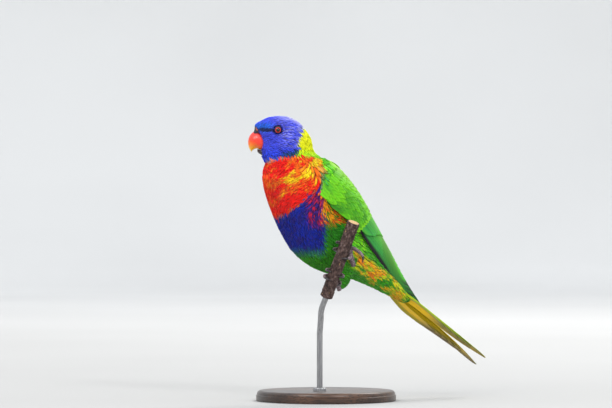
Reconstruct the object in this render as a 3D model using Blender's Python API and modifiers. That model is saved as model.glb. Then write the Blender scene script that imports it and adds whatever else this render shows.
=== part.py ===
# A life-size rainbow lorikeet gripping a short cut length of branch on a plain display stand.
# The bird faces -X, its chest turned a little towards -Y. Z is up, and the origin is the middle
# of the base's underside. Sizes are in millimetres and become metres as the meshes are made.
import bpy
import bmesh
import numpy as np
from math import atan2, cos, pi, radians, sin, sqrt
from mathutils import Vector

MM = 0.001
GAP = 0.3
CUT_GROWTH = 0.34

# Pose of the body
CHEST_YAW = radians(28)
HEAD_Y = -9.5
TRUNK_Y = 13.0
TRUNK_X = 12.0
RING_POINTS = 24
RINGS_BETWEEN = 2

# Eyes
EYE_X, EYE_Z = -41.0, 231.5
EYE_OUT = 12.6
EYE_RADIUS = 4.3

# Bill: the culmen is a widening arc about a centre, the cutting edge a quadratic curve
BILL_CENTRE = (-57.2, 222.3)
CULMEN_START, CULMEN_END = radians(66), radians(235)
CULMEN_RADIUS, CULMEN_GROWTH, CULMEN_FLATTENING = 8.7, 2.7, 1.1
EDGE_START, EDGE_MIDDLE, BILL_TIP = (-53.6, 214.3), (-60.6, 218.2), (-64.0, 212.9)
BILL_HALF_WIDTH = 6.7
BILL_TOP_NARROWING = 0.22
BILL_RINGS, BILL_POINTS = 11, 16
LOWER_BILL_START, LOWER_BILL_END = (-52.6, 211.9), (-59.3, 212.7)
LOWER_BILL_HALF_WIDTH, LOWER_BILL_HALF_DEPTH = 5.2, 2.0
LOWER_BILL_STEPS, LOWER_BILL_TAPER, LOWER_BILL_EDGE_SHARE = 6, 0.93, 0.35
CERE_RADIUS, CERE_HALF_THICKNESS, CERE_HALF_LENGTH = 6.2, 1.1, 1.9
CERE_X, CERE_Z = -57.4, 227.2
CERE_START, CERE_TURN = radians(-8), radians(196)
CERE_RINGS, CERE_POINTS = 12, 10

# Folded wings lie on one tapering envelope about a straight line from the shoulders to the tips
WING_START = (-23.2, 194.4)
WING_END = (75.7, 82.6)
WING_LENGTH = 163.0
WRIST_START, WRIST_BOW = 4.0, 5.0
COVERTS_LENGTH, COVERTS_SLANT, COVERTS_BOW = 58.0, 8.0, 2.5
SECONDARIES_LENGTH, SECONDARIES_SLANT = 89.0, 12.0
SECONDARIES_FROM, SECONDARIES_LOW_EDGE = 0.35, radians(24)
PRIMARIES_SLANT, PRIMARIES_ROUNDING = 34.0, 5.0
COVERTS_THICKNESS = 4.2
SECONDARIES_THICKNESS = 2.6
PRIMARIES_THICKNESS = 1.7
LEAST_THICKNESS = 0.7
FAR_WING_LIFT = 3.4
# Angles in degrees of the wing's lower and upper edges round the envelope
LOW_EDGE_WRIST, LOW_EDGE_DROP, LOW_EDGE_RISE, LOW_EDGE_TUCK = 30.0, 33.0, 8.0, 8.0
HIGH_EDGE_START, HIGH_EDGE_RISE, HIGH_EDGE_FALL = 52.0, 32.0, 6.0
COVERTS_STEPS, SECONDARIES_STEPS, PRIMARIES_STEPS = (9, 8), (6, 6), (12, 6)

# Tail: a long middle pair of feathers over two shorter outer stacks
TAIL_START = (69.0, 86.2)
TAIL_TIPS_MIDDLE = (134.6, 31.6)
TAIL_ROLL = radians(15)
TAIL_MIDDLE_WIDTH, TAIL_OUTER_WIDTH = 10.6, 13.0
TAIL_OUTER_LENGTH = 66.0
TAIL_RIGHT_EXTRA = 4.5
TAIL_MIDDLE_DIVERGE, TAIL_OUTER_DIVERGE = 8.6, 5.0
TAIL_MIDDLE_RISE, TAIL_OUTER_DROP = 0.6, 2.0
TAIL_THICKNESS, TAIL_LEAST_THICKNESS = 2.0, 0.7
TAIL_ROOT = -3.0
TAIL_RINGS, TAIL_POINTS = 12, 8

# Perch: a short cut length of a steep branch, in front of the belly
PERCH_BOTTOM = Vector((0.0, -19.0, 89.4))
PERCH_TOP = Vector((23.2, -37.5, 153.1))
PERCH_RADIUS = 5.3
PERCH_SIDES, PERCH_RINGS = 12, 9
PERCH_UNEVENNESS = 0.035
BORE_DEPTH, BORE_RADIUS, BORE_SIDES = 13.0, 2.8, 12

# Feet
PALM_HALF_LENGTH, PALM_HALF_WIDTH, PALM_HALF_DEPTH = 4.6, 3.4, 2.8
PALM_DISTANCE = 8.6
PALM_SEGMENTS, PALM_RINGS = 10, 6
LEFT_FOOT_HEIGHT, RIGHT_FOOT_HEIGHT = 44.0, 19.0
LEFT_PALM_ANGLE, RIGHT_PALM_ANGLE = 303, 268
TOE_RADIUS, TOE_END_RADIUS = 1.65, 1.2
TARSUS_RADIUS = 2.1
TOE_CLEARANCE, TOE_SETTLING = 0.5, 0.7
TOE_STEPS, CLAW_STEPS, WRAP_STEPS = 6, 4, 12
CLAW_LENGTH, CLAW_GAP = 6.0, 0.39
CLAW_ROOT_RADIUS, CLAW_TIP_RADIUS = 1.0, 0.18

# Legs
THIGH_KNEE_RADIUS, THIGH_HEEL_RADIUS, THIGH_PAST_HEEL = 9.0, 4.6, 2.5
THIGH_RINGS, THIGH_POINTS = 8, 14
LEFT_KNEE, LEFT_HEEL = Vector((22.0, -4.0, 136.0)), Vector((23.0, -16.6, 117.5))
RIGHT_KNEE, RIGHT_HEEL = Vector((17.0, 10.0, 110.0)), Vector((10.8, -5.0, 96.8))

# Stand
BASE_RADIUS, BASE_HEIGHT, BASE_BEVEL, BASE_SIDES = 60.0, 9.0, 1.2, 40
ROD_RADIUS = 2.5
ROD_X, ROD_Y = -5.5, -11.5
ROD_BEND_START, ROD_BEND_SHARE, ROD_STRAIGHT_END = 58.0, 0.45, 12.0
ROD_BEND_POINTS = 9


def clear_scene():
    for thing in list(bpy.data.objects):
        bpy.data.objects.remove(thing, do_unlink=True)


def new_collection(name):
    made = bpy.data.collections.new(name)
    bpy.context.scene.collection.children.link(made)
    return made


clear_scene()
BIRD = new_collection("rainbow_lorikeet")
CUTTERS = new_collection("cutters")


def material(name, colour, roughness, metallic=0.0):
    made = bpy.data.materials.new(name)
    made.use_nodes = True
    shader = made.node_tree.nodes["Principled BSDF"]
    shader.inputs["Base Color"].default_value = (*colour, 1.0)
    shader.inputs["Roughness"].default_value = roughness
    shader.inputs["Metallic"].default_value = metallic
    return made


BLUE = material("violet_blue_feathers", (0.05, 0.07, 0.48), 0.6)
LIME = material("yellow_green_feathers", (0.55, 0.72, 0.04), 0.6)
ORANGE = material("orange_red_feathers", (0.85, 0.12, 0.01), 0.6)
DEEP_BLUE = material("deep_blue_feathers", (0.02, 0.04, 0.30), 0.6)
GREEN = material("green_feathers", (0.09, 0.38, 0.03), 0.6)
BLUE_GREEN = material("blue_green_feathers", (0.03, 0.32, 0.12), 0.55)
TAIL_GREEN = material("tail_feathers", (0.30, 0.30, 0.03), 0.55)
BILL_RED = material("bill_horn", (0.85, 0.10, 0.05), 0.3)
CERE_DARK = material("cere_skin", (0.06, 0.04, 0.04), 0.5)
EYE_RED = material("eye", (0.70, 0.08, 0.02), 0.1)
FOOT_GREY = material("foot_skin", (0.24, 0.20, 0.20), 0.6)
CLAW_BLACK = material("claw_horn", (0.03, 0.03, 0.03), 0.35)
BARK = material("bark", (0.09, 0.06, 0.05), 0.9)
STAND_WOOD = material("stand_wood", (0.06, 0.035, 0.025), 0.45)
STAND_STEEL = material("stand_steel", (0.55, 0.55, 0.56), 0.35, 1.0)


def add_object(name, mesh, finish, collection=BIRD):
    mesh.materials.append(finish)
    mesh.shade_smooth()
    mesh.set_sharp_from_angle(angle=radians(40))
    made = bpy.data.objects.new(name, mesh)
    collection.objects.link(made)
    return made


def hide_cutter(cutter):
    cutter.hide_render = True
    cutter.display_type = "WIRE"


def cut(target, cutter):
    hide_cutter(cutter)
    modifier = target.modifiers.new("cut", "BOOLEAN")
    modifier.operation = "DIFFERENCE"
    modifier.solver = "EXACT"
    modifier.object = cutter


def mesh_from_rings(name, rings, start_pole=None, end_pole=None):
    """A closed loft through rings of equal count, its ends flat faces or fans to a pole."""
    bm = bmesh.new()
    loops = [[bm.verts.new(p * MM) for p in ring] for ring in rings]
    count = len(loops[0])
    for first, second in zip(loops, loops[1:]):
        for i in range(count):
            j = (i + 1) % count
            bm.faces.new((first[i], first[j], second[j], second[i]))
    for loop, pole in ((loops[0], start_pole), (loops[-1], end_pole)):
        if pole is None:
            bm.faces.new(loop)
            continue
        tip = bm.verts.new(pole * MM)
        for i in range(count):
            bm.faces.new((loop[i], loop[(i + 1) % count], tip))
    bmesh.ops.recalc_face_normals(bm, faces=bm.faces)
    mesh = bpy.data.meshes.new(name)
    bm.to_mesh(mesh)
    bm.free()
    return mesh


def catmull_rom(rows, place):
    """The values at a place along rows, which it passes through in a smooth curve."""
    last = len(rows) - 1
    i = min(int(place), last - 1)
    t = place - i
    before, start, end, after = (
        rows[max(i - 1, 0)],
        rows[i],
        rows[i + 1],
        rows[min(i + 2, last)],
    )
    return 0.5 * (
        2 * start
        + (end - before) * t
        + (2 * before - 5 * start + 4 * end - after) * t * t
        + (3 * start - before - 3 * end + after) * t**3
    )


# Body: one loft from the crown through the neck and breast to the base of the tail. Each section
# has its front and back points in the side view (x, z), its half width, and its yaw in degrees.
def section(front, back, half_width, yaw):
    return np.array([*front, *back, half_width, yaw], dtype=float)


BODY_SECTIONS = {
    "crown": section((-49.8, 243.3), (-31.8, 243.3), 8.5, 0),
    "forehead": section((-55.2, 240.6), (-25.8, 240.6), 12.8, 0),
    "brow": section((-60.0, 236.7), (-20.9, 236.7), 15.2, 0),
    "eye": section((-60.8, 231.3), (-16.5, 231.3), 16.5, 0),
    "cheek": section((-57.6, 225.3), (-12.6, 225.3), 17.3, 0),
    "nape": section((-56.6, 219.3), (-11.2, 219.5), 18.0, 2),
    "chin": section((-56.1, 211.6), (-10.0, 214.0), 19.2, 6),
    "collar": section((-53.8, 202.6), (-5.0, 209.6), 22.5, 15),
    "shoulder": section((-55.8, 194.0), (3.6, 203.6), 27.5, 23),
    "upper_breast": section((-54.2, 178.6), (14.6, 190.0), 30.4, 28),
    "breast": section((-48.2, 160.2), (22.4, 178.2), 31.4, 28),
    "lower_breast": section((-39.6, 140.4), (30.6, 163.0), 31.0, 28),
    "belly": section((-28.2, 123.4), (37.0, 148.0), 29.0, 28),
    "lower_belly": section((-7.6, 110.0), (43.6, 132.6), 25.0, 28),
    "vent": section((16.3, 104.5), (50.0, 119.0), 20.0, 28),
    "tail_base": section((35.5, 97.3), (57.2, 108.4), 15.6, 28),
    "undertail": section((54.0, 88.6), (65.6, 97.6), 12.6, 28),
    "undertail_tip": section((67.8, 81.6), (71.8, 86.6), 9.0, 28),
}
SECTION_NAMES = list(BODY_SECTIONS)
SECTION_ROWS = list(BODY_SECTIONS.values())
CROWN_POLE = Vector((-40.8, HEAD_Y, 244.4))


def trunk_y(x):
    """The middle plane's distance from the viewer: level on the head, then back along the yaw."""
    return max(HEAD_Y, TRUNK_Y + (x - TRUNK_X) * sin(CHEST_YAW) / cos(CHEST_YAW))


def body_ring(place, growth=0.0, points=RING_POINTS):
    front_x, front_z, back_x, back_z, half_width, yaw = catmull_rom(SECTION_ROWS, place)
    turn = radians(yaw)
    middle_x, middle_z = (front_x + back_x) / 2, (front_z + back_z) / 2
    middle = Vector((middle_x, trunk_y(middle_x), middle_z))
    half_depth = sqrt((back_x - front_x) ** 2 + (back_z - front_z) ** 2) / 2
    rise = atan2((back_z - front_z) * cos(turn), back_x - front_x)
    forward = Vector((-cos(turn) * cos(rise), -sin(turn) * cos(rise), -sin(rise)))
    left = Vector((sin(turn), -cos(turn), 0.0))
    return [
        middle
        + forward * (half_depth + growth) * cos(a)
        + left * (half_width + growth) * sin(a)
        for a in (2 * pi * i / points for i in range(points))
    ]


def body_mesh(name, start, end, growth=0.0):
    steps = max(2, round((end - start) * RINGS_BETWEEN))
    places = [start + (end - start) * i / steps for i in range(steps + 1)]
    rings = [body_ring(place, growth) for place in places]
    pole = CROWN_POLE + Vector((0, 0, growth)) if start == 0 else None
    return mesh_from_rings(name, rings, start_pole=pole)


def section_place(name, shift=0.0):
    return SECTION_NAMES.index(name) + shift


# Each named part of the body runs from one cut to the next; a cut is a thin slot.
SLOT = 0.03
BODY_PARTS = (
    ("head", 0.0, section_place("chin", 0.3), BLUE),
    ("neck", section_place("chin", 0.3), section_place("collar", 0.7), LIME),
    ("breast", section_place("collar", 0.7), section_place("lower_breast", 0.2), ORANGE),
    ("belly", section_place("lower_breast", 0.2), section_place("vent", -0.2), DEEP_BLUE),
    ("rump", section_place("vent", -0.2), float(len(SECTION_NAMES) - 1), GREEN),
)


def make_body():
    made = {}
    for name, start, end, finish in BODY_PARTS:
        first = start if start == 0 else start + SLOT
        last = end if end == len(SECTION_NAMES) - 1 else end - SLOT
        made[name] = add_object(name, body_mesh(name, first, last), finish)
    return made


def make_body_cutter():
    mesh = body_mesh("body_cutter", 0.0, float(len(SECTION_NAMES) - 1), CUT_GROWTH)
    return add_object("body_cutter", mesh, GREEN, CUTTERS)


def ball(name, centre, half_sizes, finish, segments=12, rings=8, collection=BIRD, axes=None):
    """An ellipsoid whose half sizes lie along the given axes, or along X, Y and Z."""
    bm = bmesh.new()
    bmesh.ops.create_uvsphere(bm, u_segments=segments, v_segments=rings, radius=1.0)
    ax = axes or (Vector((1, 0, 0)), Vector((0, 1, 0)), Vector((0, 0, 1)))
    for v in bm.verts:
        offset = sum((ax[k] * v.co[k] * half_sizes[k] for k in range(3)), Vector())
        v.co = (centre + offset) * MM
    bmesh.ops.recalc_face_normals(bm, faces=bm.faces)
    mesh = bpy.data.meshes.new(name)
    bm.to_mesh(mesh)
    bm.free()
    return add_object(name, mesh, finish, collection)


def make_eyes(head):
    for name, side in (("eye_left", -1), ("eye_right", 1)):
        centre = Vector((EYE_X, HEAD_Y + side * EYE_OUT, EYE_Z))
        ball(name, centre, [EYE_RADIUS] * 3, EYE_RED)
        socket = ball(name + "_socket", centre, [EYE_RADIUS + CUT_GROWTH] * 3, EYE_RED,
                      collection=CUTTERS)
        cut(head, socket)


def quadratic(start, middle, end, t):
    return tuple(
        (1 - t) ** 2 * a + 2 * t * (1 - t) * b + t * t * c
        for a, b, c in zip(start, middle, end)
    )


def bill_rings(growth=0.0):
    """Sections from the base to just short of the tip, each between cutting edge and culmen."""
    rings = []
    for i in range(BILL_RINGS):
        t = i / BILL_RINGS
        angle = CULMEN_START + (CULMEN_END - CULMEN_START) * t
        radius = CULMEN_RADIUS + CULMEN_GROWTH * t - CULMEN_FLATTENING * sin(pi * t**1.7)
        outer = Vector((BILL_CENTRE[0] + radius * cos(angle), 0,
                        BILL_CENTRE[1] + radius * sin(angle)))
        edge = quadratic(EDGE_START, EDGE_MIDDLE, BILL_TIP, t)
        inner = Vector((edge[0], 0, edge[1]))
        middle, across = (outer + inner) / 2, (outer - inner) / 2
        half_depth = across.length + growth
        half_width = BILL_HALF_WIDTH * (1 - t**2.2) ** 0.8 + growth
        up = across.normalized()
        ring = []
        for k in range(BILL_POINTS):
            a = 2 * pi * k / BILL_POINTS
            narrowing = 1 - BILL_TOP_NARROWING * max(cos(a), 0)
            ring.append(middle + Vector((0, HEAD_Y, 0)) + up * half_depth * cos(a)
                        + Vector((0, 1, 0)) * half_width * narrowing * sin(a))
        rings.append(ring)
    return rings


def make_bill(head):
    tip = Vector((BILL_TIP[0], HEAD_Y, BILL_TIP[1]))
    add_object("bill_upper", mesh_from_rings("bill_upper", bill_rings(), end_pole=tip), BILL_RED)
    seat_mesh = mesh_from_rings("bill_seat", bill_rings(CUT_GROWTH), end_pole=tip)
    seat = add_object("bill_seat", seat_mesh, BILL_RED, CUTTERS)
    seat.location.x = GAP * MM
    cut(head, seat)
    return seat


def lower_bill_mesh(name, growth=0.0):
    """A short scoop below the upper bill, narrowing and lifting to its blunt front."""
    rings = []
    for i in range(LOWER_BILL_STEPS + 1):
        t = i / LOWER_BILL_STEPS
        x = LOWER_BILL_START[0] + growth + (LOWER_BILL_END[0] - LOWER_BILL_START[0]) * t
        z = LOWER_BILL_START[1] + (LOWER_BILL_END[1] - LOWER_BILL_START[1]) * t * t
        shrink = sqrt(1 - (LOWER_BILL_TAPER * t) ** 2)
        width = LOWER_BILL_HALF_WIDTH * shrink + growth
        depth_share = LOWER_BILL_EDGE_SHARE + (1 - LOWER_BILL_EDGE_SHARE) * shrink
        depth = LOWER_BILL_HALF_DEPTH * depth_share + growth
        rings.append([
            Vector((x, HEAD_Y + width * sin(a), z + depth * cos(a)))
            for a in (2 * pi * k / BILL_POINTS for k in range(BILL_POINTS))
        ])
    return mesh_from_rings(name, rings)


def make_lower_bill(head, seat):
    lower = add_object("bill_lower", lower_bill_mesh("bill_lower"), BILL_RED)
    cut(lower, seat)
    seat_low = add_object("bill_lower_seat", lower_bill_mesh("bill_lower_seat", CUT_GROWTH),
                          BILL_RED, CUTTERS)
    cut(head, seat_low)


def arch_rings(growth=0.0):
    """The cere: a flattened band that arches over the base of the bill from side to side."""
    rings = []
    for i in range(CERE_RINGS + 1):
        a = CERE_START + CERE_TURN * i / CERE_RINGS
        out = Vector((-0.25 * sin(a), cos(a), sin(a)))
        middle = Vector((CERE_X, HEAD_Y, CERE_Z)) + out * CERE_RADIUS
        swell = 0.55 + 0.45 * sin(max(0.0, min(pi, a)))
        half = CERE_HALF_THICKNESS * swell + growth
        length = CERE_HALF_LENGTH * swell + growth
        rings.append([
            middle + out.normalized() * half * cos(b) + Vector((1, 0, 0.35)) * length * sin(b)
            for b in (2 * pi * k / CERE_POINTS for k in range(CERE_POINTS))
        ])
    return rings


def make_cere(head, seat):
    cere = add_object("cere", mesh_from_rings("cere", arch_rings()), CERE_DARK)
    cut(cere, seat)
    slot = add_object("cere_seat", mesh_from_rings("cere_seat", arch_rings(CUT_GROWTH)),
                      CERE_DARK, CUTTERS)
    cut(head, slot)


# Folded wings. Along the wing line each envelope row has the distance from the shoulders, the
# drop of the envelope's centre, and its half depth and half width.
WING_ENVELOPE = (
    np.array([0.0, -3.0, 31.0, 26.5]),
    np.array([24.0, -4.8, 33.8, 34.4]),
    np.array([48.0, -7.2, 34.6, 34.8]),
    np.array([72.0, -8.8, 31.6, 30.6]),
    np.array([96.0, -5.8, 23.2, 22.6]),
    np.array([120.0, -2.8, 15.0, 15.0]),
    np.array([144.0, -0.6, 9.2, 9.6]),
    np.array([168.0, 0.5, 6.0, 6.4]),
)
ENVELOPE_STEP = 24.0
BACK_X, BACK_Y = cos(CHEST_YAW), sin(CHEST_YAW)
LEFT = Vector((BACK_Y, -BACK_X, 0.0))


def picture_point(place):
    """A point of the body's middle plane from its place in the side view."""
    x, z = place
    return Vector((x, TRUNK_Y + (x - TRUNK_X) * BACK_Y / BACK_X, z))


WING_ORIGIN = picture_point(WING_START)
WING_LINE = (picture_point(WING_END) - WING_ORIGIN).normalized()
WING_UP = LEFT.cross(-WING_LINE).normalized()
if WING_UP.z < 0:
    WING_UP = -WING_UP


def wing_point(side, along, angle, lift):
    """A point on the envelope: side is 1 for the left wing and -1 for the right one."""
    _, drop, half_depth, half_width = catmull_rom(WING_ENVELOPE, along / ENVELOPE_STEP)
    return (
        WING_ORIGIN
        + WING_LINE * along
        + WING_UP * (drop + (half_depth + lift) * sin(angle))
        + LEFT * side * (half_width + lift) * cos(angle)
    )


def ramp(value, low, high):
    t = min(max((value - low) / (high - low), 0.0), 1.0)
    return t * t * (3 - 2 * t)


def leading_edge(along):
    """The angle of the wing's lower edge: high at the wrist, low behind it, then level."""
    angle = LOW_EDGE_WRIST - LOW_EDGE_DROP * ramp(along, 0, 16)
    angle += LOW_EDGE_RISE * ramp(along, 26, 50) - LOW_EDGE_TUCK * ramp(along, 80, 125)
    return radians(angle)


def upper_edge(along):
    angle = HIGH_EDGE_START + HIGH_EDGE_RISE * ramp(along, -6, 22)
    return radians(angle - HIGH_EDGE_FALL * ramp(along, 100, 150))


def sheet_mesh(name, side, start, end, low, high, lift, thickness, steps):
    """A closed curved slab: outer and inner grids of the envelope, joined round the rim."""
    along_steps, across_steps = steps
    bm = bmesh.new()
    grids = []
    for layer in (0, 1):
        grid = []
        for i in range(along_steps + 1):
            row = []
            for j in range(across_steps + 1):
                v = j / across_steps
                u = i / along_steps
                along = start(v) + (end(v) - start(v)) * u
                angle = low(along) + (high(along) - low(along)) * v
                edge = sin(pi * v) ** 0.5 * sin(pi * (0.12 + 0.83 * u)) ** 0.5
                thick = max(LEAST_THICKNESS, thickness * edge)
                row.append(bm.verts.new(
                    wing_point(side, along, angle, lift(along) - layer * thick) * MM))
            grid.append(row)
        grids.append(grid)
    for grid in grids:
        for i in range(along_steps):
            for j in range(across_steps):
                bm.faces.new((grid[i][j], grid[i + 1][j], grid[i + 1][j + 1], grid[i][j + 1]))
    outer, inner = grids
    border = (
        [(i, 0) for i in range(along_steps)]
        + [(along_steps, j) for j in range(across_steps)]
        + [(i, across_steps) for i in range(along_steps, 0, -1)]
        + [(0, j) for j in range(across_steps, 0, -1)]
    )
    for (a, b), (c, d) in zip(border, border[1:] + border[:1]):
        bm.faces.new((outer[a][b], outer[c][d], inner[c][d], inner[a][b]))
    bmesh.ops.recalc_face_normals(bm, faces=bm.faces)
    mesh = bpy.data.meshes.new(name)
    bm.to_mesh(mesh)
    bm.free()
    return mesh


def coverts_end(v):
    """Where the coverts end, at a share of the way from the wing's lower edge to its upper one."""
    return COVERTS_LENGTH + COVERTS_SLANT * v + COVERTS_BOW * sin(pi * v)


def make_wing(word, side, body_cutter):
    """Coverts at the front, then secondaries lying over the long primaries."""
    far = FAR_WING_LIFT if side < 0 else 0.0
    under = SECONDARIES_THICKNESS + GAP

    def far_lift(along):
        return far * ramp(along, 0, 12) * (1 - ramp(along, 50, 80))

    def primary_lift(along):
        return -under * (1 - ramp(along, SECONDARIES_LENGTH - 6, SECONDARIES_LENGTH + 10))

    coverts = sheet_mesh(
        f"wing_{word}_coverts", side,
        lambda v: WRIST_START - WRIST_BOW * sin(pi * v), coverts_end,
        leading_edge, upper_edge, far_lift, COVERTS_THICKNESS, COVERTS_STEPS,
    )
    secondaries = sheet_mesh(
        f"wing_{word}_secondaries", side,
        lambda v: coverts_end(SECONDARIES_FROM + (1 - SECONDARIES_FROM) * v) + 2 * GAP,
        lambda v: SECONDARIES_LENGTH - SECONDARIES_SLANT * (1 - v),
        lambda w: SECONDARIES_LOW_EDGE, upper_edge, lambda w: 0.0, SECONDARIES_THICKNESS,
        SECONDARIES_STEPS,
    )
    primaries = sheet_mesh(
        f"wing_{word}_primaries", side,
        lambda v: coverts_end(v) + 3 * GAP,
        lambda v: WING_LENGTH - PRIMARIES_SLANT * (1 - v) ** 1.6 - PRIMARIES_ROUNDING * v**3,
        leading_edge, upper_edge, primary_lift, PRIMARIES_THICKNESS, PRIMARIES_STEPS,
    )
    for name, mesh, finish in (
        ("coverts", coverts, GREEN),
        ("secondaries", secondaries, GREEN),
        ("primaries", primaries, BLUE_GREEN),
    ):
        part = add_object(f"wing_{word}_{name}", mesh, finish)
        cut(part, body_cutter)


# Tail
TAIL_ORIGIN = picture_point(TAIL_START)
TAIL_TIP = picture_point(TAIL_TIPS_MIDDLE)
TAIL_LINE = (TAIL_TIP - TAIL_ORIGIN).normalized()
TAIL_MIDDLE_LENGTH = (TAIL_TIP - TAIL_ORIGIN).length
TAIL_UP_LEVEL = LEFT.cross(-TAIL_LINE).normalized()
if TAIL_UP_LEVEL.z < 0:
    TAIL_UP_LEVEL = -TAIL_UP_LEVEL
TAIL_LEFT = (LEFT * cos(TAIL_ROLL) + TAIL_UP_LEVEL * sin(TAIL_ROLL)).normalized()
TAIL_UP = (TAIL_UP_LEVEL * cos(TAIL_ROLL) - LEFT * sin(TAIL_ROLL)).normalized()


def feather_mesh(name, side, length, width, diverge, drop):
    """A long vane or stack beside the middle line: a flat lens section that swells along the
    tail, leans away from its neighbour towards the end, and narrows to a round point."""
    rings = []

    def place(t, across):
        return (
            TAIL_ORIGIN + TAIL_LINE * (TAIL_ROOT + (length - TAIL_ROOT) * t)
            + TAIL_LEFT * side * across - TAIL_UP * drop
        )

    for i in range(TAIL_RINGS):
        t = i / TAIL_RINGS
        swell = (0.8 + 0.2 * sin(pi * min(t * 0.9, 0.5))) * (1 - t**3.4) ** 0.6
        half_width = width / 2 * swell
        half_depth = max(TAIL_LEAST_THICKNESS, TAIL_THICKNESS * (1 - 0.6 * t)) / 2
        middle = place(t, half_width + 0.6 * GAP + diverge * t**2.6)
        rings.append([
            middle + TAIL_LEFT * half_width * cos(a) + TAIL_UP * half_depth * sin(a)
            for a in (2 * pi * k / TAIL_POINTS for k in range(TAIL_POINTS))
        ])
    return mesh_from_rings(name, rings, end_pole=place(1.0, 0.6 * GAP + diverge))


def make_tail(body_cutter):
    for word, side, extra in (("left", 1, 0.0), ("right", -1, TAIL_RIGHT_EXTRA)):
        middle = feather_mesh(f"tail_middle_{word}", side, TAIL_MIDDLE_LENGTH + extra,
                              TAIL_MIDDLE_WIDTH, TAIL_MIDDLE_DIVERGE, -TAIL_MIDDLE_RISE)
        outer = feather_mesh(f"tail_outer_{word}", side, TAIL_OUTER_LENGTH,
                             TAIL_OUTER_WIDTH, TAIL_OUTER_DIVERGE, TAIL_OUTER_DROP)
        for name, mesh in (("middle", middle), ("outer", outer)):
            cut(add_object(f"tail_{name}_{word}", mesh, TAIL_GREEN), body_cutter)


# Perch. Around it an angle of 0 is on the picture's right, 90 towards the viewer, 270 behind.
PERCH_LINE = (PERCH_TOP - PERCH_BOTTOM).normalized()
PERCH_LENGTH = (PERCH_TOP - PERCH_BOTTOM).length
PERCH_FRONT = (Vector((0, -1, 0)) - PERCH_LINE * Vector((0, -1, 0)).dot(PERCH_LINE)).normalized()
PERCH_RIGHT = PERCH_FRONT.cross(-PERCH_LINE).normalized()
if PERCH_RIGHT.x < 0:
    PERCH_RIGHT = -PERCH_RIGHT


def round_perch(height, angle, distance):
    return (
        PERCH_BOTTOM
        + PERCH_LINE * height
        + (PERCH_RIGHT * cos(angle) + PERCH_FRONT * sin(angle)) * distance
    )


def make_perch():
    rings = []
    for i in range(PERCH_RINGS):
        height = PERCH_LENGTH * i / (PERCH_RINGS - 1)
        ring = []
        for k in range(PERCH_SIDES):
            a = 2 * pi * k / PERCH_SIDES
            knobbly = 1 - PERCH_UNEVENNESS * (1 + sin(3 * a + 0.9 * i)) / 2
            ring.append(round_perch(height, a, PERCH_RADIUS * knobbly))
        rings.append(ring)
    perch = add_object("perch_branch", mesh_from_rings("perch_branch", rings), BARK)
    bore = [
        [round_perch(height, 2 * pi * k / BORE_SIDES, BORE_RADIUS) for k in range(BORE_SIDES)]
        for height in (-1.0, BORE_DEPTH)
    ]
    cut(perch, add_object("perch_bore", mesh_from_rings("perch_bore", bore), BARK, CUTTERS))


def tube_mesh(name, path, radii, resolution=1):
    """A round tube along a path, its radius given at each point and its ends closed flat."""
    curve = bpy.data.curves.new(name, "CURVE")
    curve.dimensions = "3D"
    curve.bevel_depth = MM
    curve.bevel_resolution = resolution
    curve.use_fill_caps = True
    spline = curve.splines.new("POLY")
    spline.points.add(len(path) - 1)
    for point, place, radius in zip(spline.points, path, radii):
        point.co = (*(place * MM), 1.0)
        point.radius = radius
    carrier = bpy.data.objects.new(name + "_path", curve)
    bpy.context.scene.collection.objects.link(carrier)
    shape = carrier.evaluated_get(bpy.context.evaluated_depsgraph_get())
    mesh = bpy.data.meshes.new_from_object(shape)
    mesh.name = name
    bpy.data.objects.remove(carrier, do_unlink=True)
    bm = bmesh.new()
    bm.from_mesh(mesh)
    bmesh.ops.remove_doubles(bm, verts=bm.verts, dist=0.00001)
    bmesh.ops.recalc_face_normals(bm, faces=bm.faces)
    bm.to_mesh(mesh)
    bm.free()
    mesh.materials.clear()
    return mesh


def smooth_path(points, count):
    rows = [np.array(p, dtype=float) for p in points]
    last = len(rows) - 1
    return [Vector(catmull_rom(rows, last * i / (count - 1))) for i in range(count)]


def toe_and_claw(name, path, palm_cutter):
    """The path's last stretch, of the claw's length, is the claw and the rest is the toe."""
    lengths = [0.0]
    for a, b in zip(path, path[1:]):
        lengths.append(lengths[-1] + (b - a).length)
    total = lengths[-1]
    toe_end = total - CLAW_LENGTH

    def at(distance):
        for i in range(1, len(path)):
            if distance <= lengths[i] or i == len(path) - 1:
                t = (distance - lengths[i - 1]) / (lengths[i] - lengths[i - 1])
                return path[i - 1].lerp(path[i], t)
        return path[-1]

    toe_shares = [i / (TOE_STEPS - 1) for i in range(TOE_STEPS)]
    toe = [at(toe_end * share) for share in toe_shares]
    toe_radii = [TOE_RADIUS + (TOE_END_RADIUS - TOE_RADIUS) * share for share in toe_shares]
    claw_start = toe_end + CLAW_GAP
    claw_shares = [i / (CLAW_STEPS - 1) for i in range(CLAW_STEPS)]
    claw = [at(claw_start + (total - claw_start) * share) for share in claw_shares]
    claw_radii = [
        CLAW_ROOT_RADIUS + (CLAW_TIP_RADIUS - CLAW_ROOT_RADIUS) * share for share in claw_shares
    ]
    toe_object = add_object("toe_" + name, tube_mesh("toe_" + name, toe, toe_radii), FOOT_GREY)
    add_object("claw_" + name, tube_mesh("claw_" + name, claw, claw_radii), CLAW_BLACK)
    cut(toe_object, palm_cutter)


def wrapped_toe(height, start_angle, end_angle, climb):
    """A path that starts at the palm and winds round the perch at the toe's own distance."""
    distance = PERCH_RADIUS + TOE_CLEARANCE + TOE_RADIUS
    path = []
    for i in range(WRAP_STEPS):
        t = i / (WRAP_STEPS - 1)
        angle = radians(start_angle + (end_angle - start_angle) * t)
        near = distance - TOE_SETTLING * ramp(t, 0.6, 1.0)
        path.append(round_perch(height + climb * t, angle, near))
    return path


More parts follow.
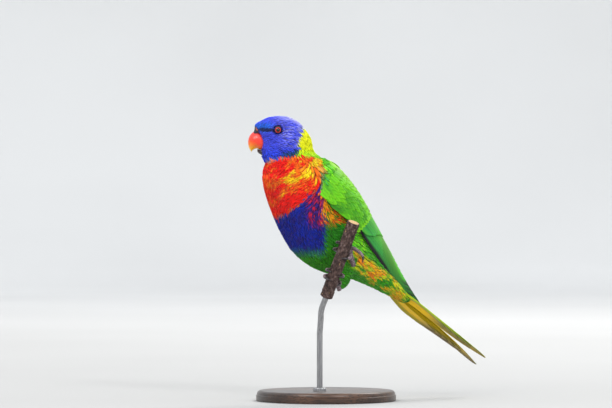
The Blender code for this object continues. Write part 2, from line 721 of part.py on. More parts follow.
def make_foot(word, height, palm_angle, toes):
    """A palm behind the perch, two toes round one side of it and two round the other."""
    turn = radians(palm_angle)
    centre = round_perch(height, turn, PALM_DISTANCE)
    outward = (PERCH_RIGHT * cos(turn) + PERCH_FRONT * sin(turn)).normalized()
    sideways = PERCH_LINE.cross(outward).normalized()
    axes = (outward, sideways, PERCH_LINE)
    sizes = (PALM_HALF_DEPTH, PALM_HALF_WIDTH, PALM_HALF_LENGTH)
    ball(f"foot_{word}", centre, sizes, FOOT_GREY, PALM_SEGMENTS, PALM_RINGS, axes=axes)
    cutter = ball(f"foot_{word}_cutter", centre, [s + CUT_GROWTH for s in sizes], FOOT_GREY,
                  PALM_SEGMENTS, PALM_RINGS, CUTTERS, axes)
    for number, path in toes.items():
        toe_and_claw(f"{word}_{number}", path, cutter)
    return centre, cutter


def thigh_solid(name, start, end, growth, collection):
    """A feathered thigh: a rounded loft that tapers from the knee to the heel."""
    line = (end - start).normalized()
    side = line.cross(Vector((0, 0, 1))).normalized()
    other = line.cross(side).normalized()
    length = (end - start).length
    rings = []
    for i in range(1, THIGH_RINGS):
        t = i / THIGH_RINGS
        taper = THIGH_KNEE_RADIUS + (THIGH_HEEL_RADIUS - THIGH_KNEE_RADIUS) * t
        radius = taper * sin(pi * t) ** 0.45 + growth
        middle = start + line * (length * t)
        rings.append([
            middle + side * radius * cos(a) + other * radius * sin(a)
            for a in (2 * pi * k / THIGH_POINTS for k in range(THIGH_POINTS))
        ])
    mesh = mesh_from_rings(name, rings, start - line * growth, end + line * growth)
    return add_object(name, mesh, GREEN, collection)


def make_leg(word, palm, palm_cutter, knee, heel, body_cutter):
    """The thigh is cut to the body, and the tarsus runs from the heel to the palm."""
    low_end = heel + (heel - knee).normalized() * THIGH_PAST_HEEL
    cut(thigh_solid(f"thigh_{word}", knee, low_end, 0.0, BIRD), body_cutter)
    thigh_cutter = thigh_solid(f"thigh_{word}_cutter", knee, low_end, CUT_GROWTH, CUTTERS)
    path = [heel, heel.lerp(palm, 0.5), palm]
    shank = tube_mesh(f"tarsus_{word}", path, [TARSUS_RADIUS] * len(path))
    tarsus = add_object(f"tarsus_{word}", shank, FOOT_GREY)
    for cutter in (thigh_cutter, palm_cutter, body_cutter):
        cut(tarsus, cutter)


def make_feet_and_legs(body_cutter):
    high, low = LEFT_FOOT_HEIGHT + 2.4, LEFT_FOOT_HEIGHT - 2.6
    free_toe = smooth_path([
        tuple(round_perch(high + climb, radians(angle), distance))
        for climb, angle, distance in (
            (0.0, 312, 7.6), (1.0, 332, 9.2), (0.2, 344, 13.0), (-1.6, 349, 16.6),
            (-4.6, 352, 18.6), (-8.0, 353, 18.8),
        )
    ], 13)
    left_palm, left_cutter = make_foot("left", LEFT_FOOT_HEIGHT, LEFT_PALM_ANGLE, {
        "inner_front": wrapped_toe(high, 290, 138, 3.0),
        "outer_front": wrapped_toe(low, 290, 122, 1.0),
        "outer_back": free_toe,
        "inner_back": wrapped_toe(low, 316, 448, -2.6),
    })
    high, low = RIGHT_FOOT_HEIGHT + 2.5, RIGHT_FOOT_HEIGHT - 2.5
    right_palm, right_cutter = make_foot("right", RIGHT_FOOT_HEIGHT, RIGHT_PALM_ANGLE, {
        "inner_front": wrapped_toe(high, 256, 116, 2.6),
        "outer_front": wrapped_toe(low, 256, 100, 0.6),
        "outer_back": wrapped_toe(high, 280, 422, 1.2),
        "inner_back": wrapped_toe(low, 280, 404, -2.8),
    })
    make_leg("left", left_palm, left_cutter, LEFT_KNEE, LEFT_HEEL, body_cutter)
    make_leg("right", right_palm, right_cutter, RIGHT_KNEE, RIGHT_HEEL, body_cutter)


def make_stand():
    bm = bmesh.new()
    bmesh.ops.create_cone(bm, cap_ends=True, segments=BASE_SIDES, radius1=BASE_RADIUS * MM,
                          radius2=BASE_RADIUS * MM, depth=BASE_HEIGHT * MM)
    bmesh.ops.translate(bm, verts=bm.verts, vec=Vector((0, 0, BASE_HEIGHT / 2 * MM)))
    mesh = bpy.data.meshes.new("stand_base")
    bm.to_mesh(mesh)
    bm.free()
    base = add_object("stand_base", mesh, STAND_WOOD)
    bevel = base.modifiers.new("rounded_rim", "BEVEL")
    bevel.width = BASE_BEVEL * MM
    bevel.segments = 2
    bevel.limit_method = "ANGLE"
    foot = Vector((ROD_X, ROD_Y, BASE_HEIGHT + GAP))
    bend = Vector((ROD_X, ROD_Y, ROD_BEND_START))
    before_perch = PERCH_BOTTOM - PERCH_LINE * ROD_STRAIGHT_END
    inside_perch = PERCH_BOTTOM + PERCH_LINE * (BORE_DEPTH - 2 * GAP)
    path = [foot, foot.lerp(bend, 0.5)]
    rows = [bend, before_perch.lerp(bend, ROD_BEND_SHARE), before_perch, PERCH_BOTTOM]
    path += smooth_path([tuple(p) for p in rows], ROD_BEND_POINTS)
    path.append(inside_perch)
    add_object("stand_rod", tube_mesh("stand_rod", path, [ROD_RADIUS] * len(path), 2),
               STAND_STEEL)


def make_lorikeet():
    body = make_body()
    body_cutter = make_body_cutter()
    make_eyes(body["head"])
    seat = make_bill(body["head"])
    make_lower_bill(body["head"], seat)
    make_cere(body["head"], seat)
    make_wing("left", 1, body_cutter)
    make_wing("right", -1, body_cutter)
    make_tail(body_cutter)
    make_perch()
    make_feet_and_legs(body_cutter)
    make_stand()


make_lorikeet()
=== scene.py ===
# A life-size rainbow lorikeet that grips a cut length of branch on a display stand. Sizes here are
# in millimetres and become metres as each mesh is made. The bird faces -X with its chest turned a
# little towards -Y, and Z is up from the middle of the base's underside.
from math import cos, pi, radians, sin, sqrt

import bmesh
import bpy
import numpy as np
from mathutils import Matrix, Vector, noise
from mathutils.bvhtree import BVHTree


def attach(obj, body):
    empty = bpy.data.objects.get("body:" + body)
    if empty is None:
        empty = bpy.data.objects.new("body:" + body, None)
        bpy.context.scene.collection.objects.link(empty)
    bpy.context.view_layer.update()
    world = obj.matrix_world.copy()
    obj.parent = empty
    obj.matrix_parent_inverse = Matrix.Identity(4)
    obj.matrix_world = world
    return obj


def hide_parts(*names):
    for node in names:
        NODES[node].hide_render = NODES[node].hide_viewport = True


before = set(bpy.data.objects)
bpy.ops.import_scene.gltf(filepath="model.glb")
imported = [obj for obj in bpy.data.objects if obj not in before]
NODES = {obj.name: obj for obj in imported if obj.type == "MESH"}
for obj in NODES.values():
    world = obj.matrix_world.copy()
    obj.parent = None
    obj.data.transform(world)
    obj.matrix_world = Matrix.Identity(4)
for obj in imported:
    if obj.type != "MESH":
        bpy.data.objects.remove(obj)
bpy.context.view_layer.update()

# Studio. A pale floor sweeps up into a wall all round, and large soft lights hang above it. The
# camera is level with the bird's middle and square to the side that its chest turns towards.
MM = 0.001
CAMERA_PLACE = (-17.2, -3190.0, 168.56)
CAMERA_LENS, SENSOR = 218.9, 36.0
CLIP_NEAR, CLIP_FAR = 0.05, 60
FLOOR_FLAT, FLOOR_WALL, FLOOR_HEIGHT = 4200.0, 5600.0, 2600.0
FLOOR_BEND_STEPS, FLOOR_SIDES = 12, 72
FLOOR_TONE_REACH = 5600.0
WHITE = (255, 255, 255)
FLOOR_SHADE_TONES = ((0.0, (178, 178, 177)), (0.25, (188, 188, 187)), (0.6, (222, 222, 221)),
               (0.8, (236, 236, 235)), (1.0, (230, 230, 229)))
FLOOR_DUST = ((0.35, (249, 249, 249)), (0.65, WHITE))
# Each lamp's name, place, size, power and colour
STUDIO_LIGHTS = (
    ("key", (-1500, -1900, 2300), 1500, 40.0, (1.0, 0.975, 0.94)),
    ("fill", (1050, -2050, 1500), 460, 18.0, (1.0, 1.0, 1.0)),
    ("rim", (900, 1900, 2100), 1300, 46.0, (1.0, 0.98, 0.95)),
)
WORLD_COLOUR, WORLD_STRENGTH = (0.93, 0.96, 1.0, 1.0), 1.1
LIGHTS_AIM = Vector((-10, 0, 150))

scene = bpy.context.scene
scene.view_settings.view_transform = "Standard"
camera = bpy.data.objects.new("camera", bpy.data.cameras.new("camera"))
scene.collection.objects.link(camera)
camera.location = [c * MM for c in CAMERA_PLACE]
camera.rotation_euler = (radians(90), 0, 0)
camera.data.lens, camera.data.sensor_width = CAMERA_LENS, SENSOR
camera.data.clip_start, camera.data.clip_end = CLIP_NEAR, CLIP_FAR
scene.camera = camera


def shader_material(name, roughness, **settings):
    """A material, with its node tree and its Principled shader."""
    made = bpy.data.materials.new(name)
    made.use_nodes = True
    tree = made.node_tree
    shader = tree.nodes["Principled BSDF"]
    shader.inputs["Roughness"].default_value = roughness
    for socket, value in settings.items():
        shader.inputs[socket.replace("_", " ")].default_value = value
    return made, tree, shader


def node(tree, kind, links=(), **values):
    """A shader node with its properties and input values set, fed by the given outputs."""
    made = tree.nodes.new(kind)
    for key, value in values.items():
        if hasattr(made, key):
            setattr(made, key, value)
        else:
            made.inputs[key.replace("_", " ")].default_value = value
    for socket, source in links:
        tree.links.new(source, made.inputs[socket])
    return made


def linear(colour):
    """An sRGB colour of 0 to 255 as linear values."""
    c = np.asarray(colour, float) / 255
    return np.where(c <= 0.04045, c / 12.92, ((c + 0.055) / 1.055) ** 2.4)


def rgba(colour):
    return (*linear(colour), 1.0)


def ramp_node(tree, source, stops):
    """A colour ramp on a value: stops are (place, sRGB colour)."""
    made = tree.nodes.new("ShaderNodeValToRGB")
    elements = made.color_ramp.elements
    while len(elements) < len(stops):
        elements.new(0.5)
    for element, (place, colour) in zip(elements, stops):
        element.position = place
        element.color = rgba(colour)
    tree.links.new(source, made.inputs["Fac"])
    return made.outputs["Color"]


def mixed(tree, under, over, amount, blend="MIX"):
    """One colour over another; each of the three is a number, an sRGB colour or an output."""
    made = node(tree, "ShaderNodeMix", data_type="RGBA", blend_type=blend)
    for socket, value in ((0, amount), (6, under), (7, over)):
        if isinstance(value, bpy.types.NodeSocket):
            tree.links.new(value, made.inputs[socket])
        else:
            made.inputs[socket].default_value = value if socket == 0 else rgba(value)
    return made.outputs[2]


def speckled(tree, colour, grain, stops, amount):
    """A colour multiplied by the tones that a grain picks from its stops."""
    return mixed(tree, colour, ramp_node(tree, grain, stops), amount, "MULTIPLY")


def bump(tree, shader, height, distance, strength=1.0):
    made = node(tree, "ShaderNodeBump", [("Height", height)], Distance=distance, Strength=strength)
    tree.links.new(made.outputs["Normal"], shader.inputs["Normal"])


def shader_group(name, numbers, vectors, results):
    """An empty node group with named sockets: the group, its inputs and its results."""
    group = bpy.data.node_groups.new(name, "ShaderNodeTree")
    for names, way, kind in ((numbers, "INPUT", "Float"), (vectors, "INPUT", "Vector"),
                             (results, "OUTPUT", "Float")):
        for socket in names:
            group.interface.new_socket(name=socket, in_out=way, socket_type=f"NodeSocket{kind}")
    return group, node(group, "NodeGroupInput").outputs, node(group, "NodeGroupOutput").inputs


def grain_group():
    """Noise on Object coordinates, which each material places at its own scale."""
    group, given, result = shader_group("grain", ("Scale", "Detail", "Roughness"), ("Stretch",),
                                        ("Grain",))
    place = node(group, "ShaderNodeMapping", [
        ("Vector", node(group, "ShaderNodeTexCoord").outputs["Object"]),
        ("Scale", given["Stretch"])]).outputs[0]
    made = node(group, "ShaderNodeTexNoise", [("Vector", place)] + [
        (socket, given[socket]) for socket in ("Scale", "Detail", "Roughness")])
    group.links.new(made.outputs["Fac"], result["Grain"])
    return group


def distance_group():
    """How far each place of a piece lies from a point, both in metres."""
    group, given, result = shader_group("distance", (), ("Point",), ("Distance",))
    place = node(group, "ShaderNodeTexCoord").outputs["Object"]
    away = vector_maths(group, "SUBTRACT", place, given["Point"])
    group.links.new(vector_maths(group, "LENGTH", away), result["Distance"])
    return group


def wired(tree, made, values):
    """The node with its inputs filled in turn, each from a value or from an output."""
    for socket, value in zip(made.inputs, values):
        if isinstance(value, bpy.types.NodeSocket):
            tree.links.new(value, socket)
        else:
            socket.default_value = value
    return made


def maths(tree, operation, *values):
    return wired(tree, node(tree, "ShaderNodeMath", operation=operation), values).outputs[0]


def vector_maths(tree, operation, *values):
    made = wired(tree, node(tree, "ShaderNodeVectorMath", operation=operation), values)
    return made.outputs["Value" if operation == "LENGTH" else "Vector"]


GRAIN, DISTANCE = grain_group(), distance_group()


def place_noise(tree, scale, detail=2.0, roughness=0.5, stretch=(1, 1, 1)):
    return node(tree, "ShaderNodeGroup", node_tree=GRAIN, Scale=scale, Detail=detail,
                Roughness=roughness, Stretch=stretch).outputs["Grain"]


def distance_from(tree, point):
    return node(tree, "ShaderNodeGroup", node_tree=DISTANCE, Point=point).outputs["Distance"]


def outward_mesh(name, bm):
    """The mesh of a bmesh, its faces turned outwards and shaded smooth."""
    bmesh.ops.recalc_face_normals(bm, faces=bm.faces)
    mesh = bpy.data.meshes.new(name)
    bm.to_mesh(mesh)
    bm.free()
    mesh.shade_smooth()
    return mesh


def floor_mesh():
    """A turned sweep: flat out to one radius, then a quarter round up to a straight wall."""
    bend = FLOOR_WALL - FLOOR_FLAT
    profile = [(0.0, 0.0), (FLOOR_FLAT * 0.3, 0.0), (FLOOR_FLAT, 0.0)]
    profile += [
        (FLOOR_FLAT + bend * sin(a), bend * (1 - cos(a)))
        for a in (pi / 2 * k / FLOOR_BEND_STEPS for k in range(1, FLOOR_BEND_STEPS + 1))
    ]
    profile.append((FLOOR_WALL, FLOOR_HEIGHT))
    bm = bmesh.new()
    verts = [bm.verts.new((r * MM, 0, z * MM)) for r, z in profile]
    edges = [bm.edges.new(pair) for pair in zip(verts, verts[1:])]
    bmesh.ops.spin(bm, geom=verts + edges, cent=(0, 0, 0), axis=(0, 0, 1), angle=2 * pi,
                   steps=FLOOR_SIDES)
    bmesh.ops.remove_doubles(bm, verts=bm.verts, dist=1e-5)
    mesh = outward_mesh("studio_floor", bm)
    mesh.flip_normals()
    return mesh


floor = bpy.data.objects.new("studio_floor", floor_mesh())
scene.collection.objects.link(floor)
floor_finish, tree, shader = shader_material("pale_floor", 0.85)
# The floor's paint is darker near the bird, where the lamps light it most, and paler out on the wall:
# painted shade that evens out the floor's brightness.
from_base = maths(tree, "DIVIDE", distance_from(tree, (0, 0, 0)), FLOOR_TONE_REACH * MM)
painted = speckled(tree, ramp_node(tree, from_base, FLOOR_SHADE_TONES), place_noise(tree, 1.3),
                   FLOOR_DUST, 1.0)
tree.links.new(painted, shader.inputs["Base Color"])
floor.data.materials.append(floor_finish)

for name, place, size, power, colour in STUDIO_LIGHTS:
    light = bpy.data.lights.new(name, "AREA")
    light.shape = "DISK"
    light.size, light.energy, light.color = size * MM, power, colour
    lamp = bpy.data.objects.new(name, light)
    scene.collection.objects.link(lamp)
    lamp.location = Vector(place) * MM
    lamp.rotation_euler = (Vector(place) - LIGHTS_AIM).to_track_quat("Z", "Y").to_euler()
    lamp.visible_camera = False

world = bpy.data.worlds.new("studio_air")
scene.world = world
world.use_nodes = True
world.node_tree.nodes["Background"].inputs["Color"].default_value = WORLD_COLOUR
world.node_tree.nodes["Background"].inputs["Strength"].default_value = WORLD_STRENGTH

# Skin. One smooth skin covers the head, neck, trunk, thighs and the front of each wing. It lies
# under the feathers by the coat's depth, carries their colours darkened as painted shade between
# the feathers, and has bare lids.
FLESH = ("head", "neck", "breast", "belly", "rump", "thigh_left", "thigh_right",
         "wing_left_coverts", "wing_right_coverts")
SKIN_GROW, SKIN_VOXEL, SKIN_SMOOTHING = 0.5, 1.05, 10
HEAD_Y = -9.5
EYE_X, EYE_Z, EYE_OUT, EYE_RADIUS = -41.0, 231.5, 12.1, 4.3
BILL_BASE = np.array([-57.0, HEAD_Y, 222.0])
HEAD_COAT, FACE_COAT, BODY_COAT, THIGH_COAT = 1.1, 0.6, 1.6, 1.2
CROWN_NARROWING, CROWN_Z = 0.26, (231, 246)
# Centre, sizes, way and amount: the forehead stands out, and the throat's foot is drawn in
FACE_SHAPING = (
    ((-59.5, HEAD_Y, 235.0), (5.0, 7.0, 4.5), (-0.95, 0.0, 0.3), 1.3),
    ((-53.0, HEAD_Y, 203.0), (9.0, 12.0, 2.4), (1.0, 0.0, 0.0), 1.3),
    ((-54.0, HEAD_Y, 209.0), (7.0, 9.0, 4.0), (-1.0, 0.0, 0.0), 1.0),
)


def smooth_step(value, low, high):
    t = np.clip((np.asarray(value, float) - low) / (high - low), 0, 1)
    return t * t * (3 - 2 * t)


def node_bmesh(name):
    """A CAD node's mesh with its loose triangles joined."""
    bm = bmesh.new()
    bm.from_mesh(NODES[name].data)
    bmesh.ops.remove_doubles(bm, verts=bm.verts, dist=1e-6)
    bm.normal_update()
    return bm


NODE_TREES = {}
for part in FLESH + ("bill_upper", "bill_lower", "cere"):
    shape = node_bmesh(part)
    NODE_TREES[part] = BVHTree.FromBMesh(shape)
    shape.free()


def add_piece(name, mesh, finish, replaced=()):
    """A finished piece on the root body, standing for the CAD nodes, which it hides."""
    piece = bpy.data.objects.new(name, mesh)
    scene.collection.objects.link(piece)
    mesh.materials.clear()
    mesh.materials.append(finish)
    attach(piece, "root")
    if replaced:
        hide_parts(*replaced)
    return piece


def vertex_arrays(mesh):
    count = len(mesh.vertices)
    places, normals = np.zeros(count * 3), np.zeros(count * 3)
    mesh.vertices.foreach_get("co", places)
    mesh.vertex_normals.foreach_get("vector", normals)
    return places.reshape(-1, 3) / MM, normals.reshape(-1, 3)


def unit(vectors):
    return vectors / np.maximum(np.linalg.norm(vectors, axis=-1, keepdims=True), 1e-9)


def through(rows, place):
    """Values at places along rows, on a smooth curve that passes through them."""
    rows = np.asarray(rows, float)
    place = np.clip(np.asarray(place, float), 0, len(rows) - 1)
    i = np.minimum(place.astype(int), len(rows) - 2)
    t = (place - i)[..., None]
    before, start = rows[np.maximum(i - 1, 0)], rows[i]
    end, after = rows[i + 1], rows[np.minimum(i + 2, len(rows) - 1)]
    return 0.5 * (2 * start + (end - before) * t + (2 * before - 5 * start + 4 * end - after) * t**2
                  + (3 * start - before - 3 * end + after) * t**3)


def between(value, low, high, soft):
    return smooth_step(value, low - soft, low + soft) * (1 - smooth_step(value, high - soft,
                                                                         high + soft))


CHEST_YAW = radians(28)
TRUNK_X, TRUNK_Y = 12.0, 13.0
WING_START, WING_END = (-23.2, 194.4), (75.7, 82.6)
WING_LENGTH = 163.0
# At each place along the wing: the envelope's middle above its line, and its half depth and width
WING_ENVELOPE = np.array([
    (0.0, -3.0, 31.0, 26.5), (24.0, -4.8, 33.8, 34.4), (48.0, -7.2, 34.6, 34.8),
    (72.0, -8.8, 31.6, 30.6), (96.0, -5.8, 23.2, 22.6), (120.0, -2.8, 15.0, 15.0),
    (144.0, -0.6, 9.2, 9.6), (168.0, 0.5, 6.0, 6.4),
])
ENVELOPE_STEP = 24.0
LEFT = Vector((sin(CHEST_YAW), -cos(CHEST_YAW), 0.0))
FAR_WING_LIFT, WING_COAT = 3.4, 1.9
WING_SLAB, WING_SLAB_SPAN, SLAB_MARGIN = (0.84, 1.2), (1.0, 74.0), 0.06


def picture_point(place):
    """A point of the trunk's middle plane from its place in the side view."""
    x, z = place
    return Vector((x, TRUNK_Y + (x - TRUNK_X) * sin(CHEST_YAW) / cos(CHEST_YAW), z))


WING_ORIGIN = picture_point(WING_START)
WING_LINE = (picture_point(WING_END) - WING_ORIGIN).normalized()
WING_UP = LEFT.cross(WING_LINE).normalized()


def wing_surface(side, along, angle, lift):
    """Places on the envelope as arrays: side is 1 for the left wing and -1 for the right one."""
    rows = through(WING_ENVELOPE, along / ENVELOPE_STEP)
    drop, depth, width = rows[..., 1], rows[..., 2], rows[..., 3]
    up = drop + (depth + lift) * np.sin(angle)
    out = side * (width + lift) * np.cos(angle)
    return (np.array(WING_ORIGIN) + along[..., None] * np.array(WING_LINE)
            + up[..., None] * np.array(WING_UP) + out[..., None] * np.array(LEFT))


# The turns of the folded wing's two edges on the envelope, in degrees
LOW_EDGE_WRIST, LOW_EDGE_DROP, LOW_EDGE_RISE, LOW_EDGE_FALL = 30, 33, 8, 8
HIGH_EDGE_START, HIGH_EDGE_RISE, HIGH_EDGE_FALL = 52, 32, 6


def leading_edge(along):
    """The lower edge's angle: it drops behind the wrist, rises a little and falls again."""
    wrist = LOW_EDGE_WRIST - LOW_EDGE_DROP * smooth_step(along, 0, 16)
    return np.radians(wrist + LOW_EDGE_RISE * smooth_step(along, 26, 50)
                      - LOW_EDGE_FALL * smooth_step(along, 80, 125))


def upper_edge(along):
    return np.radians(HIGH_EDGE_START + HIGH_EDGE_RISE * smooth_step(along, -6, 22)
                      - HIGH_EDGE_FALL * smooth_step(along, 100, 150))


def wing_angle(along, across):
    """The envelope angle of a place across the folded wing: 0 its lower edge, 1 the back."""
    low, high = leading_edge(along), upper_edge(along)
    return low + (high - low) * across


def far_lift(side, along):
    """The right wing's coverts sit a little farther out."""
    return (side < 0) * FAR_WING_LIFT * smooth_step(along, 0, 12) * (1 - smooth_step(along, 50, 80))


def wing_share(places):
    """How far each place belongs to the slab of a folded wing, and the way out of it there."""
    share, ways = np.zeros(len(places)), np.zeros_like(places)
    from_start = places - np.array(WING_ORIGIN)
    along = from_start @ np.array(WING_LINE)
    rows = through(WING_ENVELOPE, along / ENVELOPE_STEP)
    for side in (1, -1):
        lift = far_lift(side, along)
        out = side * (from_start @ np.array(LEFT)) / (rows[:, 3] + lift)
        up = (from_start @ np.array(WING_UP) - rows[:, 1]) / (rows[:, 2] + lift)
        turn = np.arctan2(up, out)
        inside = between(np.hypot(out, up), *WING_SLAB, 0.02)
        inside *= between(turn, leading_edge(along) - SLAB_MARGIN,
                          upper_edge(along) + SLAB_MARGIN, 0.03)
        inside *= between(along, *WING_SLAB_SPAN, 4.0)
        way = unit(side * out[:, None] * np.array(LEFT) + up[:, None] * np.array(WING_UP))
        ways += way * inside[:, None]
        share = np.maximum(share, inside)
    return share, unit(ways)


# Where the coat's depth changes: away from the bill, down the neck, and at the thighs
FACE_REACH, NECK_Z, THIGH_Z, THIGH_X, THIGH_Y = (8, 26), (196, 214), (116, 130), 32, 14


def coat_depth(places):
    """How far the skin lies under the feather tips, in millimetres."""
    from_bill = np.linalg.norm(places - BILL_BASE, axis=1)
    depth = FACE_COAT + (HEAD_COAT - FACE_COAT) * smooth_step(from_bill, *FACE_REACH)
    depth += (BODY_COAT - HEAD_COAT) * (1 - smooth_step(places[:, 2], *NECK_Z))
    on_thigh = (1 - smooth_step(places[:, 2], *THIGH_Z)) * (places[:, 0] < THIGH_X)
    on_thigh *= places[:, 1] < THIGH_Y
    return depth + (THIGH_COAT - BODY_COAT) * on_thigh


def one_skin(solid, voxel, smoothing):
    """A mesh of overlapping closed shapes made one closed smooth surface."""
    carrier = bpy.data.objects.new("carrier", solid)
    scene.collection.objects.link(carrier)
    remesh = carrier.modifiers.new("one_skin", "REMESH")
    remesh.mode, remesh.voxel_size = "VOXEL", voxel * MM
    smooth = carrier.modifiers.new("soften", "SMOOTH")
    smooth.factor, smooth.iterations = 0.5, smoothing
    result = bpy.data.meshes.new_from_object(
        carrier.evaluated_get(bpy.context.evaluated_depsgraph_get()))
    bpy.data.objects.remove(carrier, do_unlink=True)
    bpy.data.meshes.remove(solid)
    return result


def skin_mesh():
    """The flesh nodes, each grown a little so that they meet, joined and drawn in."""
    joined = bmesh.new()
    for part in FLESH:
        shape = node_bmesh(part)
        for v in shape.verts:
            v.co += v.normal * SKIN_GROW * MM
        grown = bpy.data.meshes.new("grown")
        shape.to_mesh(grown)
        shape.free()
        joined.from_mesh(grown)
        bpy.data.meshes.remove(grown)
    solid = bpy.data.meshes.new("solid_flesh")
    joined.to_mesh(solid)
    joined.free()
    result = one_skin(solid, SKIN_VOXEL, SKIN_SMOOTHING)
    places, normals = vertex_arrays(result)
    share, ways = wing_share(places)
    depth = (coat_depth(places) + SKIN_GROW)[:, None]
    share = share[:, None]
    places -= normals * depth * (1 - share) + ways * (WING_COAT + SKIN_GROW) * share
    crown = CROWN_NARROWING * smooth_step(places[:, 2], *CROWN_Z)
    places[:, 1] -= (places[:, 1] - HEAD_Y) * crown
    for centre, size, way, amount in FACE_SHAPING:
        near = np.exp(-(((places - centre) / size) ** 2).sum(1))
        places += near[:, None] * amount * np.array(way)
    result.vertices.foreach_set("co", (places * MM).ravel())
    result.update()
    result.name = "skin"
    return result


skin_surface = skin_mesh()
SKIN_PLACES, _ = vertex_arrays(skin_surface)
skin_tree = BVHTree.FromPolygons(
    [tuple(p) for p in SKIN_PLACES], [tuple(f.vertices) for f in skin_surface.polygons])

# Markings. Colours follow the side view: x along the picture, z up. A place on the right half is
# mirrored across the body's middle plane first, so that both sides carry the same markings.
# Heights with the body's turn there in degrees, and heights with the x of its middle
YAW_ROWS = ((184, 28.0), (199, 23.0), (206, 15.0), (212, 6.0), (219, 0.0))
MIDDLE_ROWS = ((160, -3.0), (178, -17.0), (194, -25.9), (203, -29.8), (214, -33.0), (230, -38.0))

VIOLET_BLUE, PALE_LILAC, HEAD_SHADE = (62, 72, 216), (150, 152, 248), (30, 34, 130)
CROWN_RIM_HIGHLIGHT = (206, 200, 246)
FOREHEAD_BLUE, LORE_DARK = (14, 92, 200), (14, 14, 44)
THROAT_BLUE, CHEEK_EDGE = (30, 58, 206), (10, 60, 72)
LIME, YELLOW_LIME, NECK_GREEN = (186, 232, 0), (248, 250, 0), (92, 200, 4)
RED, ORANGE, YELLOW, DEEP_RED = (255, 20, 0), (255, 104, 0), (255, 202, 0), (206, 6, 4)
BELLY_BLUE, BELLY_VIOLET = (4, 34, 156), (34, 22, 122)
FLANK_PURPLE, PURPLE_RED, FLANK_GREEN = (70, 16, 100), (196, 14, 56), (40, 140, 14)
TIP_ORANGE, TIP_YELLOW = (255, 62, 0), (255, 168, 0)
VENT_YELLOW, VENT_ORANGE, VENT_RED = (206, 206, 8), (250, 150, 4), (226, 66, 10)
GREEN, BRIGHT_GREEN, DARK_GREEN = (80, 180, 10), (146, 226, 14), (36, 124, 20)
TEAL_GREEN = (18, 140, 76)

# Where the markings lie: from and until along x and z, in millimetres
FOREHEAD_X, FOREHEAD_Z, CHEEK_X = (-72, -46), (230, 237.5), (-38, -20)
LILAC_X, LILAC_Z, SHADE_Z = (-38, -12), (217, 236), (206, 226)
LORE_CENTRE, LORE_HALF, LORE_SLOPE, EYE_RIM = (-51.0, 231.65), (9.0, 1.7), 0.05, (2.6, 3.4)
VENT_X, VENT_ACROSS, VENT_SLOPE = (20, 74), (-9, 7), 0.70
PURPLE_X, PURPLE_Z = (-15, -1.5), (151, 181)
TIPS_X, TIPS_Z, FLANK_STRIPE = (-4, 18), (152, 183), 5.2
GOLD_CENTRE, GOLD_LENGTH, GOLD_WIDTH = (-16, 197), 22, 11
UNDER_CHIN, TEAL_Z = 2.6, (168, 197)


def trunk_y(x):
    return np.maximum(HEAD_Y, TRUNK_Y + (x - TRUNK_X) * sin(CHEST_YAW) / cos(CHEST_YAW))


def body_frame(places):
    """At each height: a point of the middle plane, and the left and forward directions."""
    x, z = places[:, 0], places[:, 2]
    heights, yaws = zip(*YAW_ROWS)
    yaw = np.radians(np.interp(z, heights, yaws))
    heights, middles = zip(*MIDDLE_ROWS)
    middle_x = np.interp(z, heights, middles)
    middle = np.stack([middle_x, trunk_y(middle_x), z], axis=1)
    left = np.stack([np.sin(yaw), -np.cos(yaw), np.zeros_like(yaw)], axis=1)
    forward = np.stack([-np.cos(yaw), -np.sin(yaw), np.zeros_like(yaw)], axis=1)
    return middle, left, forward


def side_view(places):
    """Picture places (x, z) of points, those of the right half mirrored."""
    middle, left, _ = body_frame(places)
    off = ((places - middle) * left).sum(1)
    mirrored = places - 2 * np.minimum(off, 0)[:, None] * left
    return mirrored[:, 0], mirrored[:, 2]


def noise_at(places, scale, seed):
    shift = Vector((seed * 7.3, seed * 3.1, seed * 5.7))
    return np.array([noise.noise(Vector(p) * scale + shift) for p in places])


def paint(under, colour, mask):
    return under + (linear(colour) - under) * np.clip(mask, 0, 1)[:, None]


# Boundaries in the side view, each as (along, value) places that a line passes through
BLUE_UNTIL = ((208, -26.7), (212, -24.5), (215, -21.5), (218, -25.1), (222, -23.7), (228, -22.1),
              (233, -19.4), (238, -17.0))
RED_BELOW = ((-58, 202.0), (-52, 203.6), (-48, 205.5), (-42, 206.4), (-36, 206.9), (-27, 207.9),
             (-12, 208.7), (-6, 206.1), (0, 202.0))
BLUE_BELOW = ((-52, 152.0), (-42, 153.0), (-39.6, 158.2), (-22.7, 167.4), (-13.4, 176.6),
              (-4.3, 184.3), (4, 190.0))
BREAST_FRONT = ((150, -42.0), (160, -46.0), (175, -52.0), (190, -55.5), (204, -54.0))
WING_FRONT = ((130, 22.0), (150, 17.0), (160, 14.5), (172, 6.5), (184, -1.5), (200, -3.2),
              (212, -8.0))


def line_at(value, rows):
    along, across = zip(*rows)
    return np.interp(value, along, across)


